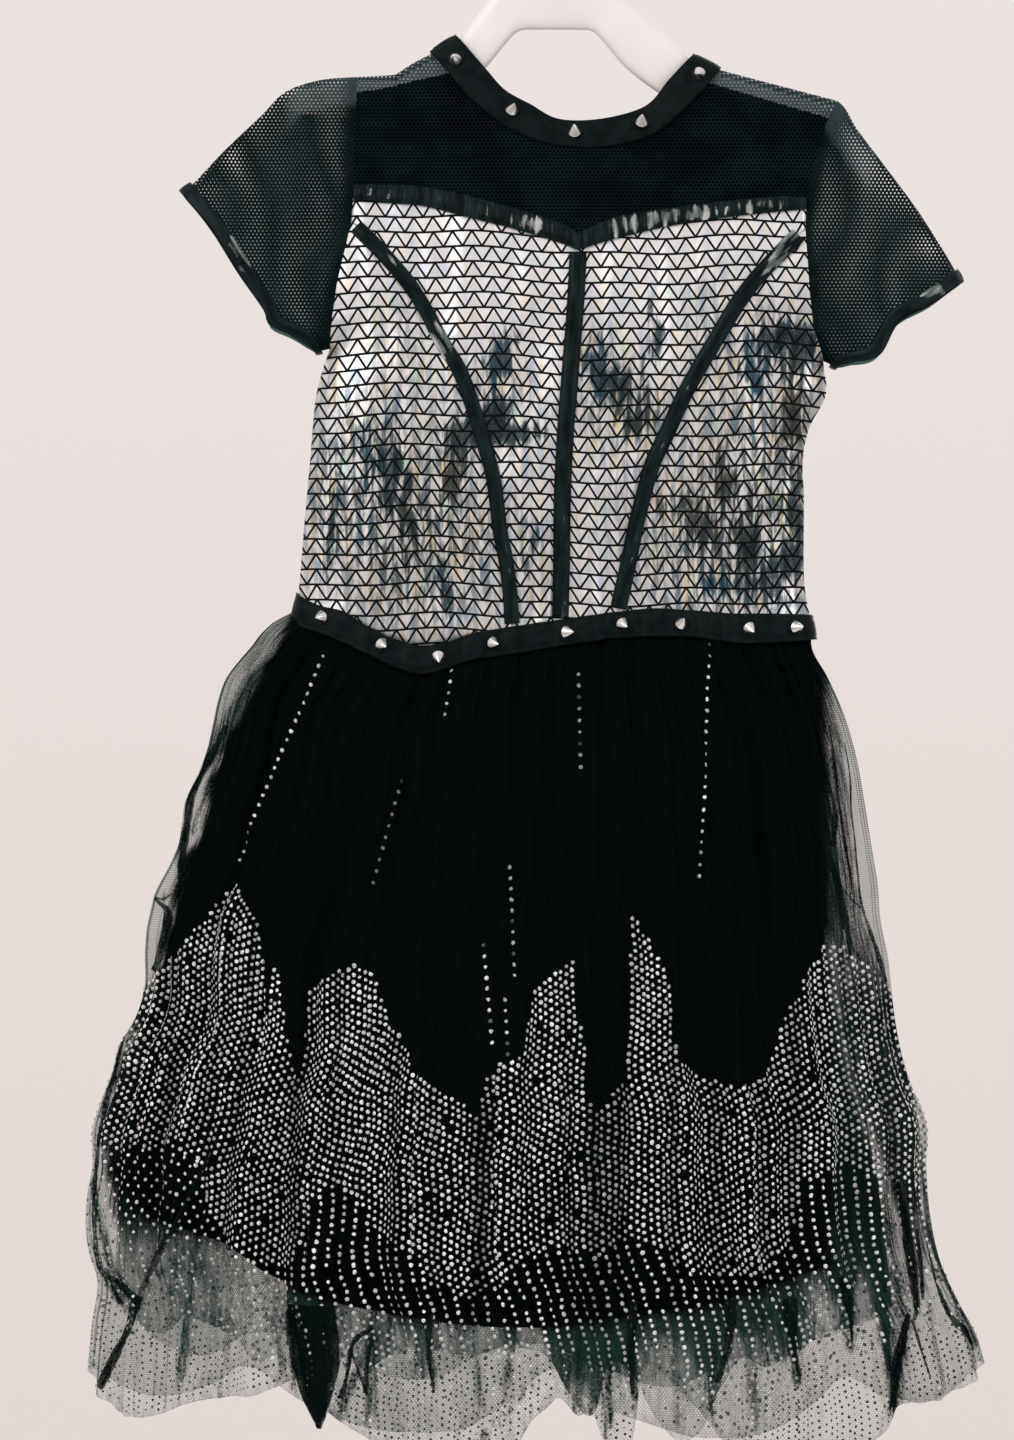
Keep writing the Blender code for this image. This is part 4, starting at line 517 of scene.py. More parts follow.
def smooth(rows, parts=8):
    """A soft curve through the rows."""
    rows = points(rows)
    before = np.vstack([2 * rows[:1] - rows[1:2], rows[:-1]])
    after = np.vstack([rows[1:], 2 * rows[-1:] - rows[-2:-1]])
    curve = []
    for a, b, c, d in zip(before[:-1], rows[:-1], rows[1:], after[1:]):
        for s in np.linspace(0.0, 1.0, parts, endpoint=False):
            curve.append(0.5 * (2 * b + (c - a) * s + (2 * a - 5 * b + 4 * c - d) * s**2
                                + (3 * b - a - 3 * c + d) * s**3))
    return np.array(curve + [rows[-1]])


def chain(*curves):
    """Curves end to end, without the doubled end points."""
    return np.concatenate([points(curves[0])] + [points(curve)[1:] for curve in curves[1:]])


def patch(top, bottom, left, right):
    """A grid of x, z between four edges."""
    top, bottom, left, right = points(top), points(bottom), points(left), points(right)
    u = steps(len(top))[None, :, None]
    v = steps(len(left))[:, None, None]
    across = (1 - v) * top[None] + v * bottom[None]
    down = (1 - u) * left[:, None] + u * right[:, None]
    corners = (1 - v) * ((1 - u) * top[0] + u * top[-1]) + v * ((1 - u) * bottom[0] + u * bottom[-1])
    return across + down - corners


def between(first, last, shares):
    """A grid whose rows lead from the first curve to the last, at the given shares."""
    v = shares[:, None, None]
    return first[None] * (1 - v) + last[None] * v


def panel_grid(left, right, shares, waist):
    """A grid from a left seam to a right one, with its last row on the waist seam."""
    grid = left[:, None] + (right[:, None] - left[:, None]) * shares[None, :, None]
    grid[-1, :, 1] = waist_line(grid[-1, :, 0], waist, "seam")
    return grid


def denser(grid, column_shares):
    """The grid with its columns moved to the given shares of each row."""
    count = grid.shape[1] - 1
    places = np.asarray(column_shares) * count
    low = np.clip(places.astype(int), 0, count - 1)
    share = (places - low)[None, :, None]
    return grid[:, low] * (1 - share) + grid[:, low + 1] * share


def edge_shares(count, left=True, right=True):
    """Shares from 0 to 1, closer together at the ends that turn round a closed edge."""
    s = steps(count + 1)
    if left and right:
        return 0.5 - 0.5 * np.cos(math.pi * s)
    if left:
        return 1.0 - np.cos(0.5 * math.pi * s)
    return np.sin(0.5 * math.pi * s) if right else s


def segments_of(curves):
    """The curves' straight parts as starts, ends and the directions that point away from the edge, into the cloth."""
    starts = np.concatenate([points(curve)[:-1] for curve in curves])
    ends = np.concatenate([points(curve)[1:] for curve in curves])
    along = ends - starts
    return starts, ends, directed(layered(-along[:, 1], along[:, 0]))


SIDE_LEFT, SIDE_RIGHT = smooth(SIDE_LEFT, 3), smooth(SIDE_RIGHT, 3)
SLEEVE_TOP_LEFT, SLEEVE_TOP_RIGHT = smooth(SLEEVE_TOP_LEFT, 3), smooth(SLEEVE_TOP_RIGHT, 3)
CLOSED = segments_of((
    chain(SHOULDER_LEFT, SLEEVE_TOP_LEFT),
    chain(UNDERARM_LEFT, SIDE_LEFT),
    chain(SHOULDER_RIGHT, SLEEVE_TOP_RIGHT)[::-1],
    chain(UNDERARM_RIGHT, SIDE_RIGHT)[::-1],
))


def edge_distance(grid):
    """Each point's distance from the nearest closed edge, and the direction away from it."""
    starts, ends, inward = CLOSED
    flat = grid.reshape(-1, 1, 2)
    along = ends - starts
    share = within_one(((flat - starts) * along).sum(-1) / (along**2).sum(-1))
    away = flat - (starts + share[..., None] * along)
    length = np.linalg.norm(away, axis=-1)
    nearest = length.argmin(axis=1)
    rows = np.arange(len(flat))
    distance = length[rows, nearest]
    direction = away[rows, nearest] / np.maximum(distance, 1e-9)[:, None]
    touching = length <= distance[:, None] + 1e-3
    on_edge = directed((touching[..., None] * inward[None]).sum(axis=1))
    direction = np.where(distance[:, None] < SEAM_TOUCH, on_edge, direction)
    return distance.reshape(grid.shape[:-1]), direction.reshape(grid.shape)


def rounded(share):
    share = within_one(share)
    return np.sqrt(1.0 - (1.0 - share) ** 2)


def off_line(grid, x1, z1, x2, z2):
    """Distance of each point from a line, and its share along it."""
    start, along = np.array([x1, z1]), np.array([x2 - x1, z2 - z1])
    share = within_one(((grid - start) @ along) / (along @ along))
    return np.linalg.norm(grid - (start + share[..., None] * along), axis=-1), share


def body_folds(grid, side):
    total = np.zeros(grid.shape[:-1])
    for of_side, x1, z1, x2, z2, half_width, height in BODY_FOLDS:
        if of_side == side:
            off, _ = off_line(grid, x1, z1, x2, z2)
            total += height * soft_peak(off, half_width)
    x, z = grid[..., 0], grid[..., 1]
    total += 0.35 * np.sin(x / 5.3 + 1.7 * np.sin(z / 41.0)) * np.sin(z / 23.0 + x / 60.0)
    near_waist = soft_peak(z - waist_line(x, WAIST_FRONT if side < 0 else WAIST_BACK, "upper"), 24.0)
    total += 0.6 * near_waist * np.sin(x / 3.1 + 2.0 * np.sin(x / 17.0))
    return total


def waist_line(x, rows, which):
    upper, lower = column(rows, x), column(rows, x, 0, 2)
    return {"upper": upper, "lower": lower, "seam": (upper + lower) / 2}[which]


def body_depth(grid, side):
    """Distance of the outer surface from the middle plane."""
    distance, _ = edge_distance(grid)
    full = soft_column(BODY_DEPTH, grid[..., 1], 0, 1 if side < 0 else 2)
    roll = ROLL_DEPTH * rounded(distance / ROLL_WIDTH)
    fill = (full - ROLL_DEPTH) * rounded(distance / FILL_WIDTH)
    fade = rounded(distance / 25.0) * within_one(distance / 25.0)
    return roll + fill + body_folds(grid, side) * fade


def on_body(grid, side, lift=0.0, apart=0.15):
    """Points over a grid of x, z, lifted off the outer surface, with the outward directions."""
    step = 0.04
    distance, direction = edge_distance(grid)
    depth = body_depth(grid, side)
    slope = np.zeros(grid.shape)
    for axis in range(2):
        shift = np.zeros(2)
        shift[axis] = step
        slope[..., axis] = (body_depth(grid + shift, side) - body_depth(grid - shift, side)) / (2 * step)
    outward = layered(-slope[..., 0], side, -slope[..., 1])
    flat_out = layered(-direction[..., 0], 0.0, -direction[..., 1])
    outward = directed(np.where((distance < SEAM_TOUCH)[..., None], flat_out, outward))
    place = layered(grid[..., 0], side * (apart + depth), grid[..., 1])
    return place + np.asarray(lift)[..., None] * outward, outward


# Making pieces.

def deselect():
    for item in list(bpy.context.selected_objects):
        item.select_set(False)


def pick(item):
    deselect()
    item.select_set(True)
    bpy.context.view_layer.objects.active = item


def new_item(name, data):
    item = bpy.data.objects.new(name, data)
    bpy.context.scene.collection.objects.link(item)
    return item


def mode(name):
    bpy.ops.object.mode_set(mode=name)


def write_marks(mesh, marks):
    """Three values a corner, which the materials read."""
    shade = mesh.attributes.new("marks", "FLOAT_COLOR", "POINT")
    shade.data.foreach_set("color", np.hstack([marks, np.ones((len(marks), 1))]).astype(np.float32).ravel())


def apply_modifiers(item):
    pick(item)
    for modifier in list(item.modifiers):
        bpy.ops.object.modifier_apply(modifier=modifier.name)


class Cloth:
    """A sheet put together from grids, which are merged where they meet."""

    def __init__(self):
        self.places = []
        self.maps = []
        self.marks = []
        self.faces = []
        self.count = 0

    def add(self, places, flat_map, flip=False, marks=None):
        rows, columns = places.shape[:2]
        index = np.arange(rows * columns).reshape(rows, columns) + self.count
        a, b, c, d = index[:-1, :-1], index[:-1, 1:], index[1:, 1:], index[1:, :-1]
        faces = np.stack([a, d, c, b] if flip else [a, b, c, d], axis=-1).reshape(-1, 4)
        self.faces.append(faces)
        self.places.append(places.reshape(-1, 3))
        self.maps.append(flat_map.reshape(-1, 2))
        self.marks.append(np.zeros((rows * columns, 3)) if marks is None else marks.reshape(-1, 3))
        self.count += rows * columns

    def make(self, name, material, wall):
        mesh = bpy.data.meshes.new(name)
        faces = np.concatenate(self.faces)
        mesh.from_pydata((np.concatenate(self.places) * MM).tolist(), [], faces.tolist())
        layer = mesh.uv_layers.new(name="cloth")
        corners = np.zeros(len(mesh.loops), dtype=np.int32)
        mesh.loops.foreach_get("vertex_index", corners)
        layer.data.foreach_set("uv", (np.concatenate(self.maps)[corners] / 100.0).astype(np.float32).ravel())
        write_marks(mesh, np.concatenate(self.marks))
        item = new_item(name, mesh)
        mesh.materials.append(material)
        pick(item)
        mode("EDIT")
        bpy.ops.mesh.select_all(action="SELECT")
        bpy.ops.mesh.remove_doubles(threshold=0.00002)
        mode("OBJECT")
        bpy.ops.object.shade_smooth()
        if wall:
            thick = item.modifiers.new("wall", "SOLIDIFY")
            thick.thickness = wall * MM
            thick.offset = -1.0
            apply_modifiers(item)
        return item


def dress(item, nodes):
    """Attaches the piece to the root body, and hides the parts of model.glb that it stands for."""
    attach(item, "root")
    if nodes:
        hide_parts(*nodes)
    return item


# Materials.

class Shader:
    """A node tree with short ways to add to it."""

    def __init__(self, tree):
        self.tree = tree

    def add(self, kind, **settings):
        node = self.tree.nodes.new("ShaderNode" + kind)
        for key, value in settings.items():
            setattr(node, key, value)
        return node

    def join(self, source, target):
        self.tree.links.new(source, target)

    def feed(self, socket, value):
        if isinstance(value, bpy.types.NodeSocket):
            self.join(value, socket)
        else:
            socket.default_value = (*value, 1.0) if isinstance(value, tuple) else value

    def math(self, operation, a, b=0.0, c=0.0, clamp=False):
        node = self.add("Math", operation=operation, use_clamp=clamp)
        for socket, value in zip(node.inputs, (a, b, c)):
            self.feed(socket, value)
        return node.outputs[0]

    def times(self, a, b, clamp=False):
        return self.math("MULTIPLY", a, b, clamp=clamp)

    def plus(self, a, b, clamp=False):
        return self.math("ADD", a, b, clamp=clamp)

    def minus(self, a, b, clamp=False):
        return self.math("SUBTRACT", a, b, clamp=clamp)

    def ramp(self, value, low, high, to_low=0.0, to_high=1.0):
        node = self.add("MapRange", interpolation_type="SMOOTHSTEP")
        for socket, number in zip(node.inputs, (value, low, high, to_low, to_high)):
            self.feed(socket, number)
        return node.outputs[0]

    def mix(self, share, a, b, kind="MIX"):
        node = self.add("Mix", data_type="RGBA", blend_type=kind)
        self.feed(node.inputs[0], share)
        self.feed(node.inputs[6], a)
        self.feed(node.inputs[7], b)
        return node.outputs[2]

    def noise(self, vector, scale, detail=2.0, roughness=0.5):
        node = self.add("TexNoise")
        self.feed(node.inputs["Vector"], vector)
        node.inputs["Scale"].default_value = scale
        node.inputs["Detail"].default_value = detail
        node.inputs["Roughness"].default_value = roughness
        return node.outputs["Fac"], node.outputs["Color"]

    def directions(self, vector):
        node = self.add("SeparateXYZ")
        self.join(vector, node.inputs[0])
        return node.outputs

    def channels(self, colour):
        node = self.add("SeparateColor")
        self.join(colour, node.inputs[0])
        return node.outputs

    def drawn_out(self, vector, share):
        """The vector with its second direction scaled down, so that noise is drawn out along it."""
        node = self.add("Mapping")
        node.inputs["Scale"].default_value = (1.0, share, 1.0)
        self.join(vector, node.inputs["Vector"])
        return node.outputs[0]

    def cloth_map(self):
        return self.add("UVMap", uv_map="cloth").outputs[0]

    def places(self):
        return self.add("TexCoord").outputs["Object"]

    def marks(self):
        return self.channels(self.add("Attribute", attribute_name="marks").outputs["Color"])

    def bump(self, height, strength, distance):
        node = self.add("Bump")
        node.inputs["Strength"].default_value = strength
        node.inputs["Distance"].default_value = distance
        self.join(height, node.inputs["Height"])
        return node.outputs[0]

    def effect(self, group, **values):
        node = self.add("Group", node_tree=group)
        for name, value in values.items():
            self.feed(node.inputs[name], value)
        return node


def new_group(name, numbers, outputs):
    """A group that takes a vector and some numbers, with the values the numbers have when none are given."""
    group = bpy.data.node_groups.new(name, "ShaderNodeTree")
    group.interface.new_socket("Vector", in_out="INPUT", socket_type="NodeSocketVector")
    for label, value in numbers.items():
        group.interface.new_socket(label, in_out="INPUT", socket_type="NodeSocketFloat").default_value = value
    for label, kind in outputs.items():
        group.interface.new_socket(label, in_out="OUTPUT", socket_type="NodeSocket" + kind)
    shader = Shader(group)
    return group, shader, group.nodes.new("NodeGroupInput").outputs, group.nodes.new("NodeGroupOutput").inputs


def holes_group():
    """Round holes on a close-packed grid: Hole is 1 in a hole and 0 on the threads."""
    group, s, given, out = new_group("even_holes", {"Pitch": 2.6, "Low": 0.5, "High": 1.2}, {"Hole": "Float"})
    parts = s.directions(given["Vector"])
    turn = s.math("DIVIDE", 100.0 * 2 * math.pi * 1.1547, given["Pitch"])
    x, y = s.times(parts[0], turn), s.times(parts[1], turn)
    half, tall = s.times(y, 0.5), s.times(x, 0.8660254)
    total = s.plus(s.math("COSINE", y), s.math("COSINE", s.plus(tall, half)))
    total = s.plus(total, s.math("COSINE", s.minus(tall, half)))
    s.join(s.ramp(total, given["Low"], given["High"]), out["Hole"])
    return group


def triangles_group():
    """Rows of foil triangles between dark lines: Foil is 1 on a triangle, Up on those that point up."""
    group, s, given, out = new_group("foil_triangles", {"Row": 10.0, "Pitch": 12.9, "Line": 1.1},
                                     {"Foil": "Float", "Up": "Float", "Chance": "Color"})
    parts = s.directions(given["Vector"])
    across = s.math("DIVIDE", s.times(parts[0], 100.0), given["Pitch"])
    down = s.math("DIVIDE", s.times(parts[1], 100.0), given["Row"])
    fu, fv = s.math("FRACT", across), s.math("FRACT", down)
    half = s.times(fv, 0.5)
    left = s.minus(fu, half)
    right = s.minus(s.minus(1.0, half), fu)
    up = s.math("GREATER_THAN", s.math("MINIMUM", left, right), 0.0)
    slant = s.times(given["Pitch"], 0.84)
    off = s.times(s.math("MINIMUM", s.math("ABSOLUTE", left), s.math("ABSOLUTE", right)), slant)
    level = s.times(s.math("MINIMUM", fv, s.minus(1.0, fv)), given["Row"])
    near = s.math("MINIMUM", off, level)
    width = s.times(given["Line"], 0.5)
    s.join(s.ramp(near, s.minus(width, 0.16), s.plus(width, 0.16)), out["Foil"])
    s.join(up, out["Up"])
    nudge = s.times(s.minus(1.0, up), 0.5)
    which = s.plus(s.math("FLOOR", s.plus(across, nudge)), s.times(up, 0.37))
    cell = s.add("CombineXYZ")
    s.join(which, cell.inputs[0])
    s.join(s.math("FLOOR", down), cell.inputs[1])
    chance = s.add("TexWhiteNoise", noise_dimensions="3D")
    s.join(cell.outputs[0], chance.inputs["Vector"])
    s.join(chance.outputs["Color"], out["Chance"])
    return group


def weave_group():
    """Fine diagonal ribs with a little unevenness, for bump."""
    group, s, given, out = new_group("fine_weave", {"Pitch": 0.8, "Slant": 1.0},
                                     {"Height": "Float", "Fleck": "Float"})
    parts = s.directions(given["Vector"])
    turn = s.math("DIVIDE", 200.0 * math.pi, given["Pitch"])
    along = s.plus(parts[0], s.times(parts[1], given["Slant"]))
    rib = s.math("SINE", s.times(along, turn))
    cross = s.math("SINE", s.times(parts[1], turn))
    fleck, _ = s.noise(given["Vector"], 14.0, 3.0)
    s.join(s.plus(s.times(rib, 0.35), s.times(cross, 0.2)), out["Height"])
    s.join(fleck, out["Fleck"])
    return group


def new_material(name, colour, roughness, metallic=0.0, specular=0.5):
    material = bpy.data.materials.new(name)
    material.use_nodes = True
    shader = material.node_tree.nodes["Principled BSDF"]
    shader.inputs["Base Color"].default_value = (*colour, 1.0)
    shader.inputs["Roughness"].default_value = roughness
    shader.inputs["Metallic"].default_value = metallic
    shader.inputs["Specular IOR Level"].default_value = specular
    material.diffuse_color = (*colour, 1.0)
    return material, Shader(material.node_tree), shader.inputs


HOLES, TRIANGLES, WEAVE = holes_group(), triangles_group(), weave_group()


def mesh_cloth(name):
    """Knitted mesh with round holes: marks close it, paint a pale sheen on its threads, and paint its inner side pale
    as painted light.
    """
    material, s, out = new_material(name, (0.004, 0.006, 0.0065), 0.6, specular=0.015)
    hole = s.effect(HOLES, Vector=s.cloth_map(), Pitch=2.64, Low=0.3, High=1.15).outputs["Hole"]
    marks = s.marks()
    wide, _ = s.noise(s.places(), 38.0, 3.0)
    dark = s.mix(s.ramp(wide, 0.35, 0.7), (0.002, 0.0048, 0.0053), (0.0048, 0.0105, 0.0118))
    # painted sheen: a pale thread colour where the threads catch the light
    painted_sheen = s.mix(s.ramp(wide, 0.3, 0.7), (0.12, 0.19, 0.205), (0.24, 0.33, 0.345))
    # painted light: the inner side turns pale where the third mark asks for it
    inside = s.times(s.add("NewGeometry").outputs["Backfacing"], marks[2])
    s.join(s.mix(inside, s.mix(marks[1], dark, painted_sheen), (0.17, 0.3, 0.285)), out["Base Color"])
    s.join(s.minus(1.0, s.times(hole, s.ramp(marks[0], 0.0, 1.0, 1.0, 0.0))), out["Alpha"])
    s.join(s.bump(s.minus(1.0, hole), 0.5, 0.0004), out["Normal"])
    return material


def net_cloth(name, cover):
    """Tulle: fine round meshes. Marks close it in streaks where it is gathered, and paint it lighter where nothing is
    behind it, as painted light; closed net is painted darker, as painted shade.
    """
    material, s, out = new_material(name, (0.01, 0.016, 0.015), 0.7, specular=0.0)
    uv = s.cloth_map()
    hole = s.effect(HOLES, Vector=uv, Pitch=1.7, Low=-1.2, High=1.0).outputs["Hole"]
    marks = s.marks()
    streak, _ = s.noise(s.drawn_out(uv, 0.14), 34.0, 4.0, 0.65)
    grain, _ = s.noise(uv, 60.0, 3.0, 0.6)
    uneven = s.plus(s.times(s.minus(streak, 0.5), 2.3), s.times(s.minus(grain, 0.5), 1.7))
    halfway = s.times(marks[0], s.minus(1.05, marks[0]))
    closed = s.plus(marks[0], s.times(uneven, s.times(halfway, 4.0)), clamp=True)
    cloud, _ = s.noise(s.places(), 24.0, 2.0)
    thin = s.minus(1.0, s.times(cover, s.ramp(cloud, 0.2, 0.8, 0.8, 1.2)))
    clear = s.times(thin, s.ramp(hole, 0.0, 1.0, 0.74, 1.18))
    clear = s.times(clear, s.minus(1.0, closed))
    s.join(s.minus(1.0, clear, clamp=True), out["Alpha"])
    tone, _ = s.noise(s.places(), 60.0, 2.0)
    # painted light: the threads are a paler teal where nothing is behind the net
    lit = s.mix(s.ramp(tone, 0.3, 0.8), (0.018, 0.053, 0.045), (0.042, 0.088, 0.077))
    # painted shade: closed, gathered net turns darker
    lit = s.mix(closed, lit, (0.0045, 0.0115, 0.0105))
    s.join(s.mix(marks[1], (0.0018, 0.0031, 0.0034), lit), out["Base Color"])
    return material


def satin_cloth(name):
    material, s, out = new_material(name, (0.004, 0.006, 0.0065), 0.36, specular=0.05)
    weave = s.effect(WEAVE, Vector=s.cloth_map(), Pitch=0.7, Slant=1.0).outputs
    tone = s.mix(s.ramp(weave["Fleck"], 0.3, 0.75), (0.002, 0.0042, 0.0048), (0.0056, 0.0095, 0.0105))
    s.join(tone, out["Base Color"])
    s.join(s.ramp(weave["Fleck"], 0.2, 0.8, 0.26, 0.44), out["Roughness"])
    s.join(s.bump(weave["Height"], 0.25, 0.0002), out["Normal"])
    return material


def coated_cloth(name):
    """Glossy coated cloth: marks say where painted highlights lie on its creases, in blocks drawn out across or along
    it.
    """
    material, s, out = new_material(name, (0.004, 0.006, 0.0065), 0.3, specular=0.06)
    uv = s.cloth_map()
    marks = s.marks()
    grain = s.add("TexVoronoi", feature="F1")
    s.join(uv, grain.inputs["Vector"])
    grain.inputs["Scale"].default_value = 110.0
    block, _ = s.noise(s.drawn_out(uv, 0.22), 15.0, 2.0, 0.6)
    fine, _ = s.noise(uv, 60.0, 3.0, 0.6)
    creased = s.plus(block, s.times(s.minus(fine, 0.5), 0.16))
    limit = s.ramp(marks[0], 0.0, 1.0, 0.74, 0.44)
    # painted highlight: the base colour turns bright where the creases would shine
    shine = s.times(s.ramp(creased, limit, s.plus(limit, 0.07)), s.ramp(marks[0], 0.0, 0.5))
    bright = s.mix(s.ramp(creased, 0.5, 0.72), (0.09, 0.11, 0.105), (0.48, 0.47, 0.44))
    dark = s.mix(s.ramp(block, 0.35, 0.65), (0.0018, 0.0048, 0.0052), (0.008, 0.0165, 0.0175))
    s.join(s.mix(shine, dark, bright), out["Base Color"])
    s.join(s.bump(grain.outputs["Distance"], 0.3, 0.0002), out["Normal"])
    return material


def foil_cloth(name):
    """Dark knit printed with rows of rainbow foil triangles, dulled in blurred patches, with painted shade in
    streaks.
    """
    material, s, out = new_material(name, (0.6, 0.6, 0.6), 0.3, metallic=0.7, specular=0.05)
    uv = s.cloth_map()
    shape = s.effect(TRIANGLES, Vector=uv, Row=10.05, Pitch=12.75, Line=1.45).outputs
    marks = s.marks()
    streak, hue = s.noise(s.drawn_out(uv, 0.16), 24.0, 4.0, 0.65)
    cloud, tint = s.noise(uv, 5.0, 3.0, 0.6)
    soft, _ = s.noise(uv, 1.6, 2.0)
    grain, _ = s.noise(uv, 150.0, 2.0)
    parts, wide, each = s.channels(hue), s.channels(tint), s.channels(shape["Chance"])
    rainbow = s.mix(s.ramp(parts[0], 0.5, 0.66), (0.8, 0.755, 0.74), (0.3, 0.52, 0.88))
    rainbow = s.mix(s.ramp(parts[1], 0.53, 0.66), rainbow, (0.88, 0.64, 0.26))
    rainbow = s.mix(s.ramp(parts[2], 0.55, 0.68), rainbow, (0.46, 0.72, 0.5))
    strength = s.plus(0.3, s.times(marks[2], 0.8), clamp=True)
    pale = s.mix(strength, (0.8, 0.762, 0.752), rainbow)
    pale = s.mix(s.ramp(wide[0], 0.5, 0.7, 0.0, 0.28), pale, (0.84, 0.7, 0.69))
    pale = s.mix(s.times(shape["Up"], 0.3), pale, (0.5, 0.51, 0.52))
    pale = s.mix(s.ramp(each[0], 0.55, 1.0, 0.0, 0.3), pale, (0.48, 0.58, 0.66))
    pale = s.mix(s.ramp(each[1], 0.7, 1.0, 0.0, 0.25), pale, (0.74, 0.58, 0.5))
    # painted shade: the foil is dimmed in streaks where the third mark asks for it
    shade = s.times(marks[2], s.ramp(streak, 0.42, 0.58, 0.25, 1.35))
    shade = s.times(shade, s.ramp(grain, 0.3, 0.7, 0.75, 1.15), clamp=True)
    cold = s.mix(marks[1], (0.07, 0.06, 0.03), (0.014, 0.066, 0.105))
    dim = s.mix(0.5, cold, s.mix(1.0, rainbow, (0.3, 0.3, 0.3), "MULTIPLY"))
    dim = s.mix(0.4, (0.034, 0.052, 0.046), dim)
    pale = s.mix(s.times(shade, 0.95), pale, dim)
    ragged = s.plus(s.times(s.minus(cloud, 0.5), 0.5), s.times(s.minus(streak, 0.5), 1.7))
    edge = s.plus(marks[0], s.times(ragged, s.ramp(marks[0], 0.0, 0.3)))
    rough_edge = s.times(s.ramp(edge, 0.16, 0.52), s.ramp(grain, 0.25, 0.75, 0.8, 1.1), clamp=True)
    dull = s.mix(s.ramp(edge, 0.3, 0.95), cold, (0.006, 0.012, 0.015))
    tone = s.mix(rough_edge, pale, dull)
    s.join(s.mix(shape["Foil"], (0.0035, 0.0045, 0.005), tone), out["Base Color"])
    s.join(s.times(shape["Foil"], s.ramp(marks[0], 0.0, 1.0, 0.68, 0.3)), out["Metallic"])
    satin = s.mix(soft, (0.26, 0.26, 0.26), (0.46, 0.46, 0.46))
    s.join(s.mix(shape["Foil"], (0.8, 0.8, 0.8), satin), out["Roughness"])
    crumple, _ = s.noise(uv, 9.0, 4.0)
    height = s.plus(s.times(shape["Foil"], 0.25), crumple)
    s.join(s.bump(height, 0.4, 0.0009), out["Normal"])
    return material


def lining_cloth(name):
    material, s, out = new_material(name, (0.0018, 0.0025, 0.0027), 0.85, specular=0.0)
    weave = s.effect(WEAVE, Vector=s.cloth_map(), Pitch=0.6, Slant=0.0).outputs
    s.join(s.mix(weave["Fleck"], (0.0011, 0.0019, 0.0021), (0.002, 0.0032, 0.0035)), out["Base Color"])
    s.join(s.bump(weave["Height"], 0.2, 0.0002), out["Normal"])
    return material


def glitter(name):
    """Dots of glued glitter: marks hold each one's brightness, with painted shade in it."""
    material, s, out = new_material(name, (0.6, 0.6, 0.6), 0.4, metallic=0.25, specular=0.1)
    marks = s.marks()
    grain, tint = s.noise(s.places(), 1100.0, 2.0)
    spark = s.mix(0.25, (0.97, 0.93, 0.9), tint, "OVERLAY")
    tone = s.mix(s.ramp(grain, 0.3, 0.56), (0.46, 0.47, 0.46), spark)
    s.join(s.mix(marks[0], (0.006, 0.02, 0.017), tone), out["Base Color"])
    s.join(s.ramp(marks[0], 0.0, 0.5, 0.0, 0.25), out["Metallic"])
    s.join(s.bump(grain, 0.6, 0.0004), out["Normal"])
    return material


def stud_metal(name):
    material, s, out = new_material(name, (0.75, 0.73, 0.7), 0.16, metallic=1.0)
    grain, _ = s.noise(s.places(), 160.0, 3.0)
    s.join(s.mix(grain, (0.62, 0.59, 0.55), (0.86, 0.84, 0.81)), out["Base Color"])
    s.join(s.ramp(grain, 0.3, 0.7, 0.12, 0.24), out["Roughness"])
    return material


def pale_plastic(name):
    material, s, out = new_material(name, (0.8, 0.72, 0.7), 0.34)
    cloud, _ = s.noise(s.places(), 30.0, 3.0)
    fine, _ = s.noise(s.places(), 420.0, 2.0)
    s.join(s.mix(cloud, (0.76, 0.69, 0.67), (0.85, 0.79, 0.77)), out["Base Color"])
    s.join(s.ramp(cloud, 0.3, 0.7, 0.28, 0.42), out["Roughness"])
    s.join(s.bump(fine, 0.08, 0.0002), out["Normal"])
    return material


def plain_floor(name):
    material, s, out = new_material(name, (0.8, 0.77, 0.75), 0.8)
    cloud, _ = s.noise(s.places(), 3.0, 2.0)
    s.join(s.mix(cloud, (0.79, 0.75, 0.73), (0.82, 0.79, 0.77)), out["Base Color"])
    return material


MESH = mesh_cloth("mesh_cloth")
SATIN = satin_cloth("satin_band")
COATED = coated_cloth("coated_cloth")
FOIL = foil_cloth("foil_cloth")
LINING = lining_cloth("lining_cloth")
OUTER_NET = net_cloth("outer_tulle", 0.205)
INNER_NET = net_cloth("inner_tulle", 0.15)
GLITTER = glitter("glitter_dots")
METAL = stud_metal("stud_metal")
PLASTIC = pale_plastic("pale_plastic")
FLOOR = plain_floor("pale_floor")


# The upper part.

def foil_map(grid):
    """The foil's rows, a little bent and slanted as the cloth hangs."""
    x, z = grid[..., 0], grid[..., 1]
    bend = 1.6 * np.sin(x / 34.0 + 0.6) + 0.9 * np.sin(x / 13.0 + z / 60.0) + 0.014 * (x + 40.0)
    slide = 1.3 * np.sin(z / 37.0) + 0.6 * np.sin(x / 21.0 + z / 29.0)
    return layered(x + slide, z + bend)


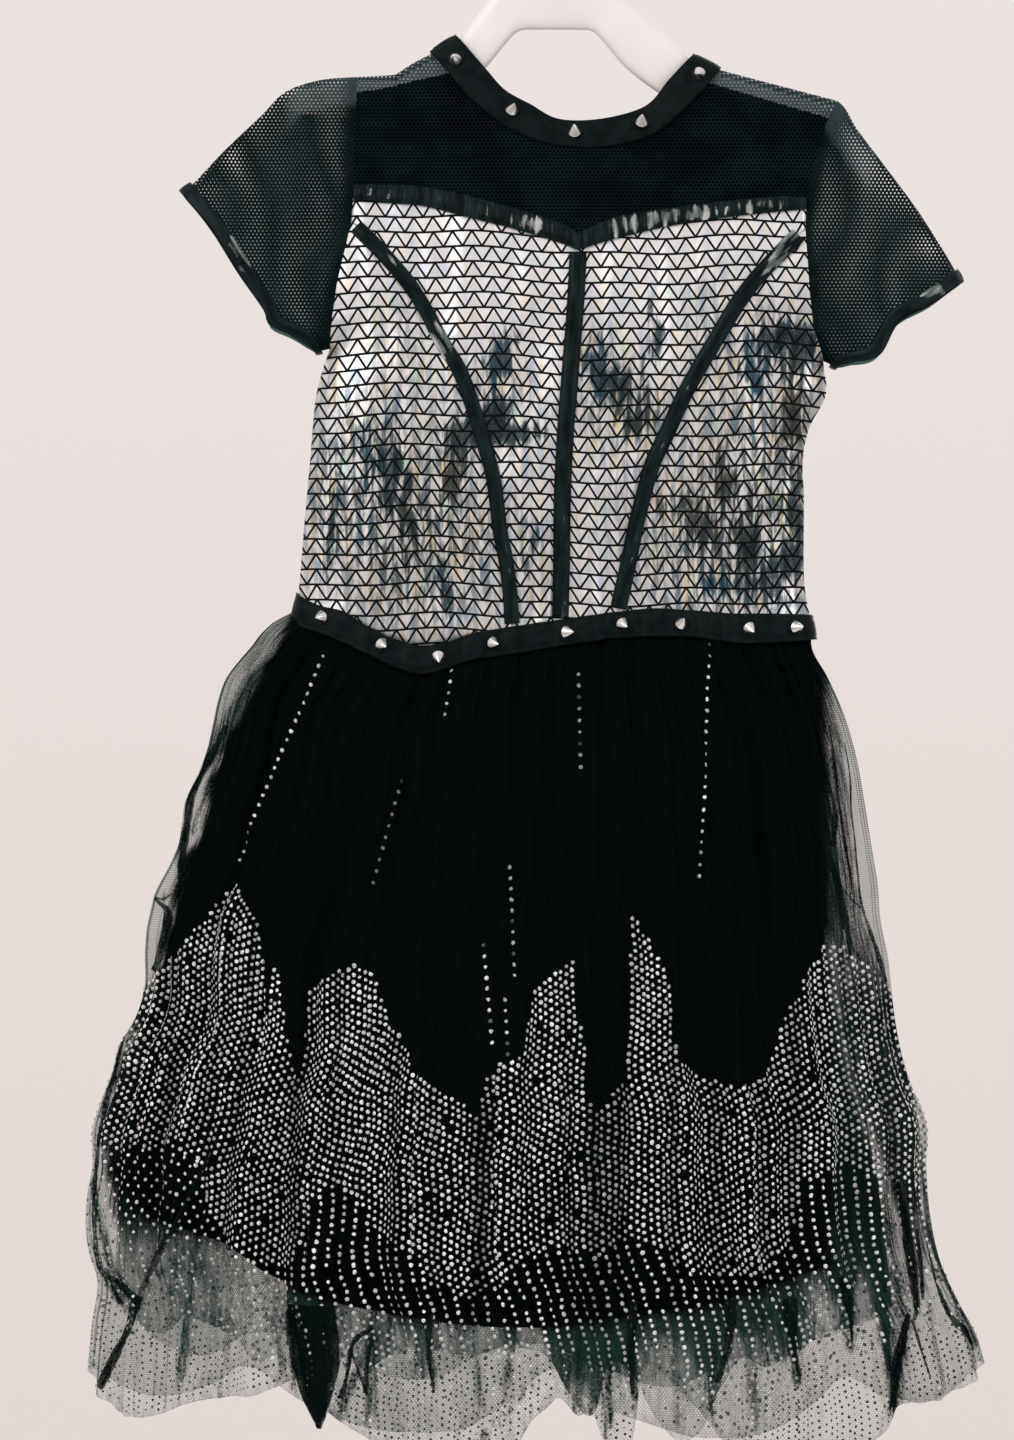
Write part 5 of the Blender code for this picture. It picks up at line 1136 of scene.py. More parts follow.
def foil_marks(grid):
    x, z = grid[..., 0], grid[..., 1]
    dark = np.zeros(x.shape)
    tint = np.zeros(x.shape)
    for at_x, at_z, half_width, half_height, darkness, hue in FOIL_PATCHES:
        size = ((x - at_x - 2.0 * np.sin(z / 7.0)) / half_width) ** 2 + ((z - at_z) / half_height) ** 2
        near = min(1.6 * darkness, 0.98) * np.exp(-(size ** 0.8))
        tint = (tint * dark + hue * near) / np.maximum(dark + near, 1e-6)
        dark = 1.0 - (1.0 - dark) * (1.0 - near)
    # the third mark is painted shade, which dims the foil in streaks
    dull = np.zeros(x.shape)
    for at_x, at_z, half_width, half_height, share in FOIL_SHADE:
        size = ((x - at_x) / half_width) ** 2 + ((z - at_z) / half_height) ** 2
        dull = 1.0 - (1.0 - dull) * (1.0 - share * np.exp(-(size ** 1.2)))
    return layered(dark, 0.5 + 0.5 * tint, dull)


def body_sheet(name, grid, side, material, wall=CLOTH, lift=0.0, flat_map=None, marks=None):
    cloth = Cloth()
    places, _ = on_body(grid, side, lift)
    cloth.add(places, grid if flat_map is None else flat_map, flip=side < 0, marks=marks)
    return cloth.make(name, material, wall)


# marks for painted highlights on coated cloth
def shine_marks(shine):
    return layered(shine, 0.0, 0.0)


def trim_middle(rows):
    return [(x, (upper + lower) / 2) for x, upper, lower in rows]


def side_x(side, z):
    return column(SIDE_LEFT if side < 0 else SIDE_RIGHT, z, 1, 0)


def waist_curve(start, end, rows, which, count):
    x = np.linspace(start, end, count + 1)
    return layered(x, waist_line(x, rows, which))


def side_seam(side, count):
    line = SIDE_LEFT if side < 0 else SIDE_RIGHT
    foot = waist_line(WAIST_FRONT[0][0] if side < 0 else WAIST_FRONT[-1][0], WAIST_FRONT, "seam")
    kept = [tuple(row) for row in line if row[1] > foot + 3.0]
    return cut(kept + [(side_x(side, foot), foot)], count)


def build_yoke():
    neck = points(NECK)
    middle = (neck[:, :2] + neck[:, 2:]) / 2
    low_left, low_right = (middle[1] + middle[2]) / 2, middle[9]
    seam_left = cut([*SHOULDER_SEAM_LEFT, low_left], 20)
    seam_right = cut([low_right, *SHOULDER_SEAM_RIGHT], 20)
    scoop = cut(smooth([low_left, *middle[2:10]]), 50)
    bottom = chain(cut(smooth(trim_middle(TRIM_LEFT)), 45), cut(smooth(trim_middle(TRIM_RIGHT)), 45))
    top = chain(seam_left, scoop, seam_right)
    front = patch(top, bottom, cut(ARMHOLE_LEFT[1:5], 40), cut(ARMHOLE_RIGHT[1:5], 40))
    yoke = body_sheet("yoke_front_cloth", front, -1, MESH, 0.0)
    dress(yoke, ["yoke_front"])
    lining = body_sheet("yoke_lining_cloth", front, -1, LINING, 0.8, -1.9)
    dress(lining, ["yoke_lining"])

    shoulder_left, shoulder_right = cut(SHOULDER_LEFT[::-1], 20)[:-1], cut(SHOULDER_RIGHT, 20)
    back_top = np.concatenate([shoulder_left, cut(smooth(middle), 50), shoulder_right[1:]])
    back_bottom = cut([ARMHOLE_LEFT[4], ARMHOLE_RIGHT[4]], len(back_top) - 1)
    shares = edge_shares(48, True, False)
    left_edge, right_edge = cut(ARMHOLE_LEFT[:5], 480), cut(ARMHOLE_RIGHT[:5], 480)
    picks = np.round(shares * 480).astype(int)
    back = between(back_top, back_bottom, shares)
    back[:, 0], back[:, -1] = left_edge[picks], right_edge[picks]
    cloth = Cloth()
    places, _ = on_body(back, 1, apart=0.0)
    cloth.add(places, back * (1, -1))
    for rows, seam in ((np.vstack([shoulder_left, middle[0]]), seam_left),
                       (np.vstack([middle[10], shoulder_right[1:]]), seam_right)):
        grid = between(rows, seam, edge_shares(14, True, False))
        places, _ = on_body(grid, -1, apart=0.0)
        # the rolled-over shoulder strips get closed holes and a painted sheen on their threads
        marks = np.zeros((*grid.shape[:2], 3)) + (0.2, 0.2, 0.0)
        cloth.add(places, grid, flip=True, marks=marks)
    item = cloth.make("yoke_back_cloth", MESH, 0.0)
    dress(item, ["yoke_back"])


def build_collar():
    neck = points(NECK)
    inner, outer = cut(smooth(neck[:, :2]), 150), cut(smooth(neck[:, 2:]), 150)
    grid = denser(between(inner, outer, steps(13)), edge_shares(150))
    s = steps(13)[:, None]
    along = steps(151)[None]
    dome = 0.5 * np.sin(math.pi * s) ** 0.5 - 0.35 * soft_peak(s - 0.1, 0.05) - 0.35 * soft_peak(s - 0.9, 0.05)
    pucker = 0.35 * np.sin(46 * along + 3.0 * np.sin(9 * along)) * np.sin(math.pi * s)
    flat = layered(along * COLLAR_LENGTH, s * COLLAR_HEIGHT)
    for name, side in (("collar_front", -1), ("collar_back", 1)):
        item = body_sheet(name + "_band", grid, side, SATIN, CLOTH, LAID + 0.2 + dome + pucker, flat)
        dress(item, [name])


def build_sleeves():
    table = (
        ("left", ARMHOLE_LEFT, SLEEVE_TOP_LEFT, UNDERARM_LEFT, SLEEVE_HEM_LEFT, -1),
        ("right", ARMHOLE_RIGHT, SLEEVE_TOP_RIGHT, UNDERARM_RIGHT, SLEEVE_HEM_RIGHT, 1),
    )
    for word, armhole, top, underarm, hem, turned in table:
        rows = edge_shares(60)
        edge, cuff = cut(armhole, 600), cut(smooth(hem), 600)
        picks = np.round(rows * 600).astype(int)
        full = patch(cut(top, 60), cut(points(underarm)[::-1], 60), edge[picks], cuff[picks])
        length = np.linalg.norm(np.diff(full, axis=1), axis=-1).sum(axis=1)
        share = 1.0 - np.minimum(BAND_WIDTH / length, 0.42)
        band = np.array([[[np.interp(place, range(61), row[:, axis]) for axis in range(2)]
                          for place in np.linspace(at, 1.0, 9) * 60] for at, row in zip(share, full)])
        cloth, hemmed = Cloth(), Cloth()
        for side in (-1, 1):
            places, _ = on_body(full, side, apart=0.0)
            x, z = full[..., 0], full[..., 1]
            flat = full if side < 0 else layered(
                1.07 * x + 0.5 * np.sin(z / 15.0) + 0.35 * np.sin(x / 9.0 + z / 23.0),
                1.01 * z + 0.5 * np.sin(x / 17.0))
            off_top = np.min([off_line(full, *start, *end)[0] for start, end in zip(top[:-1], top[1:])], axis=0)
            from_yoke = np.linalg.norm(full - full[:, :1], axis=-1)
            # rolled is the share of painted sheen on the threads rolled over near the shoulder
            rolled = within_one((21.0 - off_top) / 4.0) * within_one((52.0 - from_yoke) / 12.0)
            closed = (0.02 if side < 0 else 0.68) * (1 - 0.85 * soft_peak(off_top, 13.0))
            closed = closed + (1 - closed) * 0.95 * soft_peak(from_yoke, 8.0)
            to_cuff = np.linalg.norm(full - full[:, -1:], axis=-1)
            lower_half = steps(len(full))[:, None] ** 2
            closed = closed + (1 - closed) * 0.75 * lower_half * soft_peak(to_cuff, 16.0)
            rolled = rolled * (0.14 if side < 0 else 0.0)
            # the third mark paints the back layer's inner side pale, as painted light inside the sleeve; that layer's
            # holes are closed more so that it shows
            marks = layered(closed, rolled, 0.0 if side < 0 else 0.56)
            cloth.add(places, flat, flip=side * turned < 0, marks=marks)
            s = steps(9)[None]
            v = steps(61)[:, None]
            crown = np.sin(math.pi * s)
            lift = 1.3 + 0.5 * crown ** 0.5 + 0.3 * np.sin(34 * v + 4 * np.sin(7 * v)) * crown
            places, _ = on_body(band, side, lift, apart=0.0)
            flat = layered(s * BAND_WIDTH, v * BAND_LENGTH)
            # painted highlight on the band
            glint = 1.5 * soft_peak(v - (0.44 if turned < 0 else 0.3), 0.06) + 0.0 * s
            hemmed.add(places, flat, flip=side * turned > 0, marks=shine_marks(glint))
        item = cloth.make("sleeve_%s_cloth" % word, MESH, 0.0)
        dress(item, ["sleeve_" + word])
        item = hemmed.make("sleeve_%s_band" % word, COATED, 0.9)
        dress(item, ["sleeve_band_" + word])


def build_bodice():
    princess_left, princess_right, centre = (cut(smooth(line), 90)
                                             for line in (PRINCESS_LEFT, PRINCESS_RIGHT, CENTRE))
    for line in (princess_left, princess_right, centre):
        line[-1, 1] = waist_line(line[-1, 0], WAIST_FRONT, "seam")
    sweet_left, sweet_right = cut(smooth(trim_middle(TRIM_LEFT)), 60), cut(smooth(trim_middle(TRIM_RIGHT)), 60)

    def panel(name, grid):
        item = body_sheet(name + "_cloth", grid, -1, FOIL, CLOTH, 0.0, foil_map(grid), foil_marks(grid))
        dress(item, [name])

    top = chain(cut([ARMHOLE_LEFT[5], ARMHOLE_LEFT[4]], 8), sweet_left)
    bottom = waist_curve(princess_left[-1, 0], centre[-1, 0], WAIST_FRONT, "seam", 68)
    panel("bodice_centre_left", patch(top, bottom, princess_left, centre))
    top = chain(sweet_right, cut([ARMHOLE_RIGHT[4], ARMHOLE_RIGHT[5]], 8))
    bottom = waist_curve(centre[-1, 0], princess_right[-1, 0], WAIST_FRONT, "seam", 68)
    panel("bodice_centre_right", patch(top, bottom, centre, princess_right))

    seams = side_seam(-1, 50), side_seam(1, 50)
    outer = chain(cut(ARMHOLE_LEFT[5:], 40), seams[0])
    grid = panel_grid(outer, princess_left, edge_shares(50, True, False), WAIST_FRONT)
    panel("bodice_side_left", grid)
    outer = chain(cut(ARMHOLE_RIGHT[5:], 40), seams[1])
    grid = panel_grid(princess_right, outer, edge_shares(50, False, True), WAIST_FRONT)
    panel("bodice_side_right", grid)

    left, right = chain(cut(ARMHOLE_LEFT[4:], 40), seams[0]), chain(cut(ARMHOLE_RIGHT[4:], 40), seams[1])
    grid = panel_grid(left, right, edge_shares(110), WAIST_BACK)
    marks = foil_marks(grid * (-1.0, 1.0) + (6.0, 8.0))
    item = body_sheet("bodice_back_cloth", grid, 1, FOIL, CLOTH, 0.0, foil_map(grid), marks)
    dress(item, ["bodice_back"])


def strip_grid(curve, width, count, across):
    middle = cut(smooth(curve), count)
    along = directed(np.gradient(middle, axis=0))
    beside = layered(-along[:, 1], along[:, 0])
    offsets = np.linspace(0.5, -0.5, across + 1)[:, None, None] * width
    return middle[None] + offsets * beside[None]


def band_profile(across):
    """Height across a strip: a soft crown, and a groove where each edge is stitched."""
    s = steps(across + 1)[:, None]
    crown = 0.7 * np.sin(math.pi * s) ** 0.4
    return crown - 0.5 * soft_peak(s - STITCH_LINE, GROOVE) - 0.5 * soft_peak(s - (1.0 - STITCH_LINE), GROOVE)


def build_strips():
    glint_low = (0.3, 0.93, 0.05)
    table = (
        ("strip_left", ((-134.0, -226.3), *PRINCESS_LEFT[2:-1], (-31.6, -487.0)), 9.9, 170, 1.3,
         ((0.9, 0.33, 0.05), (0.4, 0.1, 0.06), glint_low)),
        ("strip_centre", ((11.6, -243.6), *CENTRE[1:-1], (-0.4, -482.8)), 11.2, 140, 4.1, (glint_low,)),
        ("strip_right", ((156.3, -232.0), *PRINCESS_RIGHT[2:-1], (38.2, -477.0)), 10.6, 170, 2.6,
         ((1.0, 0.0, 0.13), (0.35, 0.45, 0.1), glint_low)),
    )
    for name, curve, width, count, phase, glints in table:
        grid = strip_grid(curve, width, count, 14)
        along = steps(count + 1)[None]
        wrinkle = 0.3 * np.sin(57 * along + phase + 5 * np.sin(11 * along + phase))
        wrinkle = wrinkle * within_one(np.sin(19 * along + phase))
        across = steps(15)[:, None]
        lift = LAID + 0.1 + band_profile(14) + wrinkle * np.sin(math.pi * across)
        flat = layered(across * width, along * count * STRIP_STEP)
        # painted sheen along one side of the strip, and painted glints along it
        shine = 0.34 * soft_peak(across - 0.35, 0.22) + 0.0 * along
        for strength, at, reach in glints:
            shine = shine + strength * soft_peak(along - at, reach)
        marks = shine_marks(shine)
        item = body_sheet(name + "_cloth", grid, -1, COATED, CLOTH, lift, flat, marks)
        dress(item, [name])


def build_trim():
    rows = points(TRIM_LEFT + TRIM_RIGHT[1:])
    upper, lower = (chain(cut(smooth(rows[:7, [0, edge]]), 300), cut(smooth(rows[6:, [0, edge]]), 300))
                    for edge in (1, 2))
    grid = between(upper, lower, steps(15))
    chance = np.random.RandomState(11)
    at = np.cumsum(chance.uniform(2.2, 8.4, 70))
    height = chance.uniform(0.3, 1.3, 70)
    width = chance.uniform(0.8, 2.1, 70)
    slant = chance.uniform(-2.4, 2.4, 70)
    along = np.linspace(0.0, TRIM_LENGTH, 601)[None]
    s = steps(15)[:, None]
    ruche = np.zeros((15, 601))
    for place, tall, wide, lean in zip(at, height, width, slant):
        ruche += tall * np.exp(-(np.abs((along - place - lean * (s - 0.5)) / wide) ** 2.6))
    lift = LAID + 0.3 + band_profile(14) * 0.8 + 1.1 * ruche * np.sin(math.pi * s) ** 0.6
    flat = layered(along, s * TRIM_HEIGHT)
    # painted highlights where the trim catches the light
    shine = column(TRIM_SHINE, grid[..., 0]) * np.sin(math.pi * np.clip(s, 0.06, 0.94)) ** 0.35
    marks = shine_marks(shine)
    item = body_sheet("neckline_trim_cloth", grid, -1, COATED, CLOTH, lift, flat, marks)
    dress(item, ["neckline_trim"])


def build_waistband():
    chance = np.random.RandomState(5)
    for name, rows, side in (("waistband_front", WAIST_FRONT, -1), ("waistband_back", WAIST_BACK, 1)):
        edges = []
        for which in ("upper", "lower"):
            curve = waist_curve(rows[0][0], rows[-1][0], rows, which, 20)
            for end, of_side in ((0, -1), (-1, 1)):
                curve[end, 0] = side_x(of_side, curve[end, 1])
            edges.append(cut(smooth(curve), 380))
        grid = between(*edges, steps(17))
        s = steps(17)[:, None]
        along = np.linspace(0.0, WAISTBAND_LENGTH, 381)[None]
        pucker = np.zeros((17, 381))
        place = 4.0
        while place < WAISTBAND_LENGTH - 3.0:
            reach = chance.uniform(0.35, 1.0)
            from_top = chance.uniform(0.0, 1.0) < 0.4
            shape = within_one(1.0 - (s if from_top else 1 - s) / reach) ** 0.7
            off = (along - place - chance.uniform(-3.0, 3.0) * (s - 0.5)) / chance.uniform(1.2, 3.2)
            pucker += chance.uniform(0.3, 1.2) * shape * np.exp(-(off ** 2))
            place += chance.uniform(3.0, 13.0)
        fade = np.clip(np.minimum(along, WAISTBAND_LENGTH - along) / 14.0, 0.15, 1.0)
        lift = LAID + 0.1 + band_profile(16) * 0.7 + (pucker + 0.3 * np.sin(along / 13.0)) * fade
        flat = layered(along, s * WAISTBAND_HEIGHT)
        item = body_sheet(name + "_cloth", grid, side, SATIN, CLOTH, lift, flat)
        dress(item, [name])


# The skirt.

def fold_height(angle):
    """The large folds' wave at each angle."""
    table = points(SKIRT_FOLDS)
    widths = table[:, 0] * 360.0 / table[:, 0].sum()
    starts = np.concatenate([[0.0], np.cumsum(widths)])
    turn = (np.degrees(angle) + 180.0) % 360.0
    which = np.clip(np.searchsorted(starts, turn, side="right") - 1, 0, len(widths) - 1)
    share = (turn - starts[which]) / widths[which]
    wave = np.cos(2 * math.pi * share)
    return wave * np.where(wave > 0, table[which, 1], table[which, 2])


def layer_size(layer, drop):
    """Left x, right x, front depth and back depth at each drop."""
    if layer == "outer":
        return (soft_column(OUTER_LEFT, drop), soft_column(OUTER_RIGHT, drop),
                soft_column(OUTER_DEPTH, drop), soft_column(OUTER_DEPTH, drop, 0, 2))
    rows = INNER_ROWS if layer == "inner" else LINING_ROWS
    return tuple(soft_column(rows, drop, 0, part) for part in (1, 2, 3, 4))


LAYERS = {
    "outer": (OUTER_HEM_FRONT, OUTER_HEM_BACK, 8.0, 1.0, 0.5),
    "inner": (INNER_HEM_FRONT, INNER_HEM_BACK, 5.2, 0.75, 2.0),
    "lining": (LINING_HEM_FRONT, LINING_HEM_BACK, 2.4, 0.4, 3.6),
}


def hem_of(layer, angle):
    hem_front, hem_back = LAYERS[layer][:2]
    ends = layer_size(layer, np.array([500.0]))
    x = (ends[0][0] + ends[1][0]) / 2 + (ends[1][0] - ends[0][0]) / 2 * np.sin(angle)
    return np.where(np.cos(angle) > 0, soft_column(hem_front, x), soft_column(hem_back, x))


def seam_of(angle):
    x = WAIST_MIDDLE + WAIST_HALF * np.sin(angle)
    return np.where(np.cos(angle) > 0, waist_line(x, WAIST_FRONT, "seam"), waist_line(x, WAIST_BACK, "seam")) - 0.7


def skirt_places(layer, angle, drop):
    """Places on a skirt layer at the given angles and drops, and how much its folds crowd the cloth there."""
    _, _, wave, small, inset = LAYERS[layer]
    right, front = np.sin(angle), np.cos(angle)
    is_front = front > 0
    left_x, right_x, front_depth, back_depth = layer_size(layer, drop)
    half = (right_x - left_x) / 2 - inset
    full = np.where(is_front, front_depth, back_depth) - inset
    edge = half * (1 - np.abs(right))
    flat = ROLL_DEPTH * rounded(edge / ROLL_WIDTH) + (full - ROLL_DEPTH) * rounded(edge / FILL_WIDTH)
    blend = within_one((drop - 12.0) / 110.0)
    depth = flat * (1 - blend) + full * np.abs(front) * blend
    calm = np.clip(np.abs(front) / 0.6, 0.3, 1.0)
    grown = within_one((drop - 14.0) / 360.0)
    drift = angle + 0.012 * np.sin(drop / 90.0 + 3 * angle)
    rise = wave * fold_height(drift) * calm * grown ** 0.8
    rate = np.zeros(rise.shape)
    start = within_one((drop - 2.0) / 16.0)
    for folds, high, low, phase, slide in SMALL_FOLDS:
        height = small * start * (high * (1 - grown) + low * grown)
        turn = folds * angle + phase + slide * np.sin(2.3 * angle + drop / 120.0)
        rise = rise + height * calm * np.sin(turn)
        rate = rate + height * calm * folds * np.cos(turn)
    out_x, out_y = right * full, -front * half
    size = np.maximum(np.hypot(out_x, out_y), 1e-6)
    x = (left_x + right_x) / 2 + half * right + rise * out_x / size
    z = seam_of(angle) - drop
    y = np.where(is_front, -depth, depth) + rise * out_y / size
    places = layered(x, y, z)
    dark = np.zeros(rise.shape)
    for side, x1, z1, x2, z2, half_width, height, darkness in PLEATS.get(layer, ()):
        near = (places[..., 2] < max(z1, z2) + 12) & (is_front if side < 0 else ~is_front)
        if not near.any():
            continue
        off, share = off_line(places[near][:, [0, 2]], x1, z1, x2, z2)
        bell = soft_peak(off, half_width * (0.7 + 0.5 * share))
        places[near, 1] += side * height * bell * share
        # painted shade: the pleat's darkness closes the net there and turns it dark
        dark[near] = 1 - (1 - dark[near]) * (1 - darkness * within_one(1.5 * bell) * within_one(0.25 + share * 4))
    return places, rate / np.maximum(half, 1.0), dark


def outer_places(angle, drop):
    return skirt_places("outer", angle, drop)[0]


def random_bands(angle, seed, count, low, high):
    """Narrow upright bands at chance places round the skirt, each between low and high."""
    chance = np.random.RandomState(seed)
    clear = np.ones(angle.shape)
    for at, width, dark in zip(chance.uniform(-math.pi, math.pi, count), chance.uniform(0.008, 0.035, count),
                               chance.uniform(low, high, count)):
        off = np.abs((angle - at + math.pi) % (2 * math.pi) - math.pi)
        clear *= 1 - dark * soft_peak(off, width)
    return 1 - clear


def lining_behind(places):
    """1 where the black lining is behind a place, and 0 where only nets are."""
    x, z = places[..., 0], places[..., 2]
    hem = soft_column(LINING_HEM_FRONT, np.clip(x, LINING_HEM_FRONT[0][0], LINING_HEM_FRONT[-1][0]))
    above = within_one((z - hem) / 5.0 + 0.5)
    drop = -480.0 - z
    left, right, _, _ = layer_size("lining", np.clip(drop, 0.0, LINING_ROWS[-1][0]))
    within = within_one((x - left + 2.0) / 6.0) * within_one((right + 2.0 - x) / 6.0)
    return above * within


def gathered(layer, places, angle, drop, dark, slope):
    """How far the net is closed at each place, and its share of painted light where nothing is behind it, taken away
    at the black sides as painted shade.
    """
    x, z = places[..., 0], places[..., 2]
    hem = places[-1:, :, 2]
    left, right = column(BLACK_EDGES, z), column(BLACK_EDGES, z, 0, 2)
    steep = (np.sqrt(1.0 + slope ** 2) - 1.0) * np.where(x > right, 0.1, 1.0)
    clear = 0.74 ** steep * (1 - dark)
    clear *= 1 - 0.6 * np.exp(-drop / np.where(x > right + 2.0, 20.0, 45.0))
    most, seed = (0.16, 7) if layer == "outer" else (0.22, 8)
    clear *= 1 - most * random_bands(angle, seed, 90, 0.2, 0.9) * within_one((-640.0 - z) / 200.0)
    ripple = 1.6 * np.sin(z / 9.0 + 2.0 * np.sin(z / 31.0)) + 1.0 * np.sin(z / 4.1 + 1.0)
    share = within_one(np.minimum((x - left + ripple + 5.0) / 8.0, (right - x + 0.4 * ripple) / 4.0))
    share = share * share * (3 - 2 * share)
    beyond = within_one((x - 172.0) / 6.0)
    most = 0.94 - beyond * (0.46 - 0.42 * within_one((-690.0 - z) / 50.0))
    fade = within_one((z + np.where(x < 0, 903.0, 916.0)) / 46.0)
    share = share * fade
    clear *= 1 - most * share
    behind = lining_behind(places)
    finger = column(FINGERS, x + 1.5 * np.sin(z / 6.0))
    deep = within_one((z - finger) / 16.0) * within_one((-870.0 - z) / 15.0)
    # painted shade: the nets are closed in fingers below the lining
    clear *= 1 - (0.82 if layer == "inner" else 0.5) * deep * (1 - 0.3 * np.sin(x / 2.3 + np.sin(x / 7.0)) ** 2)
    if layer == "inner":
        low = within_one((z - hem) / 46.0)
        clear *= 1 - (0.4 - 0.16 * (x < -190.0)) * low * within_one(0.45 + random_bands(angle, 21, 60, 0.3, 1.0))
    off = x - column(PALE_STREAK, z)
    long = within_one((-684.0 - z) / 14.0) * within_one((z + 925.0) / 20.0)
    bare = 0.62 * soft_peak(off, 5.0) * long * (1 - behind)
    clear = clear + (1 - clear) * bare
    clear *= 1 - 0.35 * np.exp(-(z - hem) / 0.8)
    # painted light where no lining is behind the net, with painted shade at the black sides
    lit = (1 - behind) * (1 - share * (0.95 - 0.5 * beyond))
    return layered(1 - clear, lit, 0.0)


def add_crease(cloth, closed, lit, lift, line):
    """One rolled or twisted crease of the nets, close on the front of the outer net, painted dark by its marks as
    painted shade.
    """
    line = smooth(line, 10)
    lengths = lengths_along(line[:, :2])
    along = np.arange(0.0, lengths[-1], 1.4)
    x, z, width = (np.interp(along, lengths, line[:, part]) for part in range(3))
    away_x, away_z = -np.gradient(z), np.gradient(x)
    size = np.maximum(np.hypot(away_x, away_z), 1e-6)
    across = np.linspace(-0.5, 0.5, 7)[:, None]
    uneven = 0.12 * np.sin(along / 3.1 + x[0]) + 0.08 * np.sin(along / 1.3 + 2 * x[0])
    ragged = 1 + uneven * np.minimum(1.0, 4.0 / np.maximum(width, 0.1))
    at_x = x + across * width * ragged * away_x / size
    at_z = z + across * width * ragged * away_z / size
    left_x, right_x, _, _ = layer_size("outer", -478.0 - at_z)
    at_x = np.clip(at_x, left_x + 1.2, right_x - 1.2)
    turn, height = place_of(-1, at_x, at_z)
    places = outer_places(turn, height)
    swell = np.cos(math.pi * across) * np.minimum(width / 5.0, 1.0)
    places = layered(at_x, places[..., 1] - lift - 0.9 * swell, at_z)
    # painted shade: the crease is closed and keeps little painted light
    marks = layered(closed - 0.2 * np.abs(2 * across) ** 6, lit, 0.0 * at_x)
    cloth.add(places, layered(across * width, along), marks=marks)


def build_skirt():
    table = (
        ("lining", "skirt_lining", LINING, 0.8, (161, 131), 60, (0.46, 0.47, 0.2)),
        ("inner", "skirt_net_inner", INNER_NET, 0.0, (481, 261), 90, (0.63, 0.5, 0.29)),
        ("outer", "skirt_net_outer", OUTER_NET, 0.0, (721, 361), 110, (0.73, 0.54, 0.37)),
    )
    for layer, node, material, wall, counts, down, flat in table:
        for word, middle, around in (("front", 0.0, counts[0]), ("back", math.pi, counts[1])):
            angle = np.linspace(-math.pi / 2, math.pi / 2, around)[None] + middle
            share = steps(down + 1)[:, None] ** 1.15
            share[-1], share[-2] = 1.0, 0.9985
            drop = (seam_of(angle) - hem_of(layer, angle)) * share
            angle = np.broadcast_to(angle, drop.shape)
            places, slope, dark = skirt_places(layer, angle, drop)
            marks = gathered(layer, places, angle, drop, dark, slope)
            cloth = Cloth()
            cloth.add(places, layered(angle * NET_PER_RADIAN, drop), flip=True, marks=marks)
            if layer == "outer" and word == "front":
                for crease in CREASES:
                    add_crease(cloth, *crease)
            item = cloth.make("%s_%s_cloth" % (node, word), material, wall)
            dress(item, ["%s_%s" % (node, word)])


def dot_mesh(name, centres, outward, across, radius, tone):
    """Low glitter domes with six-sided rims, all in one mesh."""
    count = len(centres)
    side_way = np.cross(outward, across)
    chance = np.random.RandomState(3)
    turn = np.linspace(0.0, 2 * math.pi, 6, endpoint=False)[None] + chance.uniform(0.0, 1.0, (count, 1))
    wobble = radius[:, None] * chance.uniform(0.74, 1.2, (count, 6))
    rim = (centres[:, None] + (np.cos(turn) * wobble)[..., None] * across[:, None]
           + (np.sin(turn) * wobble)[..., None] * side_way[:, None])
    tip = chance.uniform(-0.4, 0.4, (count, 2)) * radius[:, None]
    top = centres + outward * (radius * 0.45)[:, None] + across * tip[:, :1] + side_way * tip[:, 1:]
    low = centres - outward * 0.15
    places = np.concatenate([rim + 0.12 * outward[:, None], top[:, None], low[:, None]], axis=1).reshape(-1, 3)
    base = np.arange(count)[:, None, None] * 8
    ring = np.arange(6)
    caps = np.stack([ring, (ring + 1) % 6, np.full(6, 6)], axis=1)
    unders = np.stack([(ring + 1) % 6, ring, np.full(6, 7)], axis=1)
    faces = (base + np.concatenate([caps, unders])[None]).reshape(-1, 3)
    mesh = bpy.data.meshes.new(name)
    mesh.from_pydata((places * MM).tolist(), [], faces.tolist())
    write_marks(mesh, np.repeat(tone, 8)[:, None] * np.ones(3))
    mesh.materials.append(GLITTER)
    return new_item(name, mesh)


def place_of(side, at_x, at_z):
    """Angle and drop of a point on the outer net, seen from the front or the back."""
    middle = 0.0 if side < 0 else math.pi
    angle = np.zeros(at_x.shape)
    for _ in range(12):
        drop = seam_of(angle + middle) - at_z
        left_x, right_x, _, _ = layer_size("outer", drop)
        sine = np.clip((at_x - (left_x + right_x) / 2) / ((right_x - left_x) / 2 - 0.5), -0.99, 0.99)
        angle = np.arcsin(sine) * (1 if side < 0 else -1)
    return angle + middle, drop


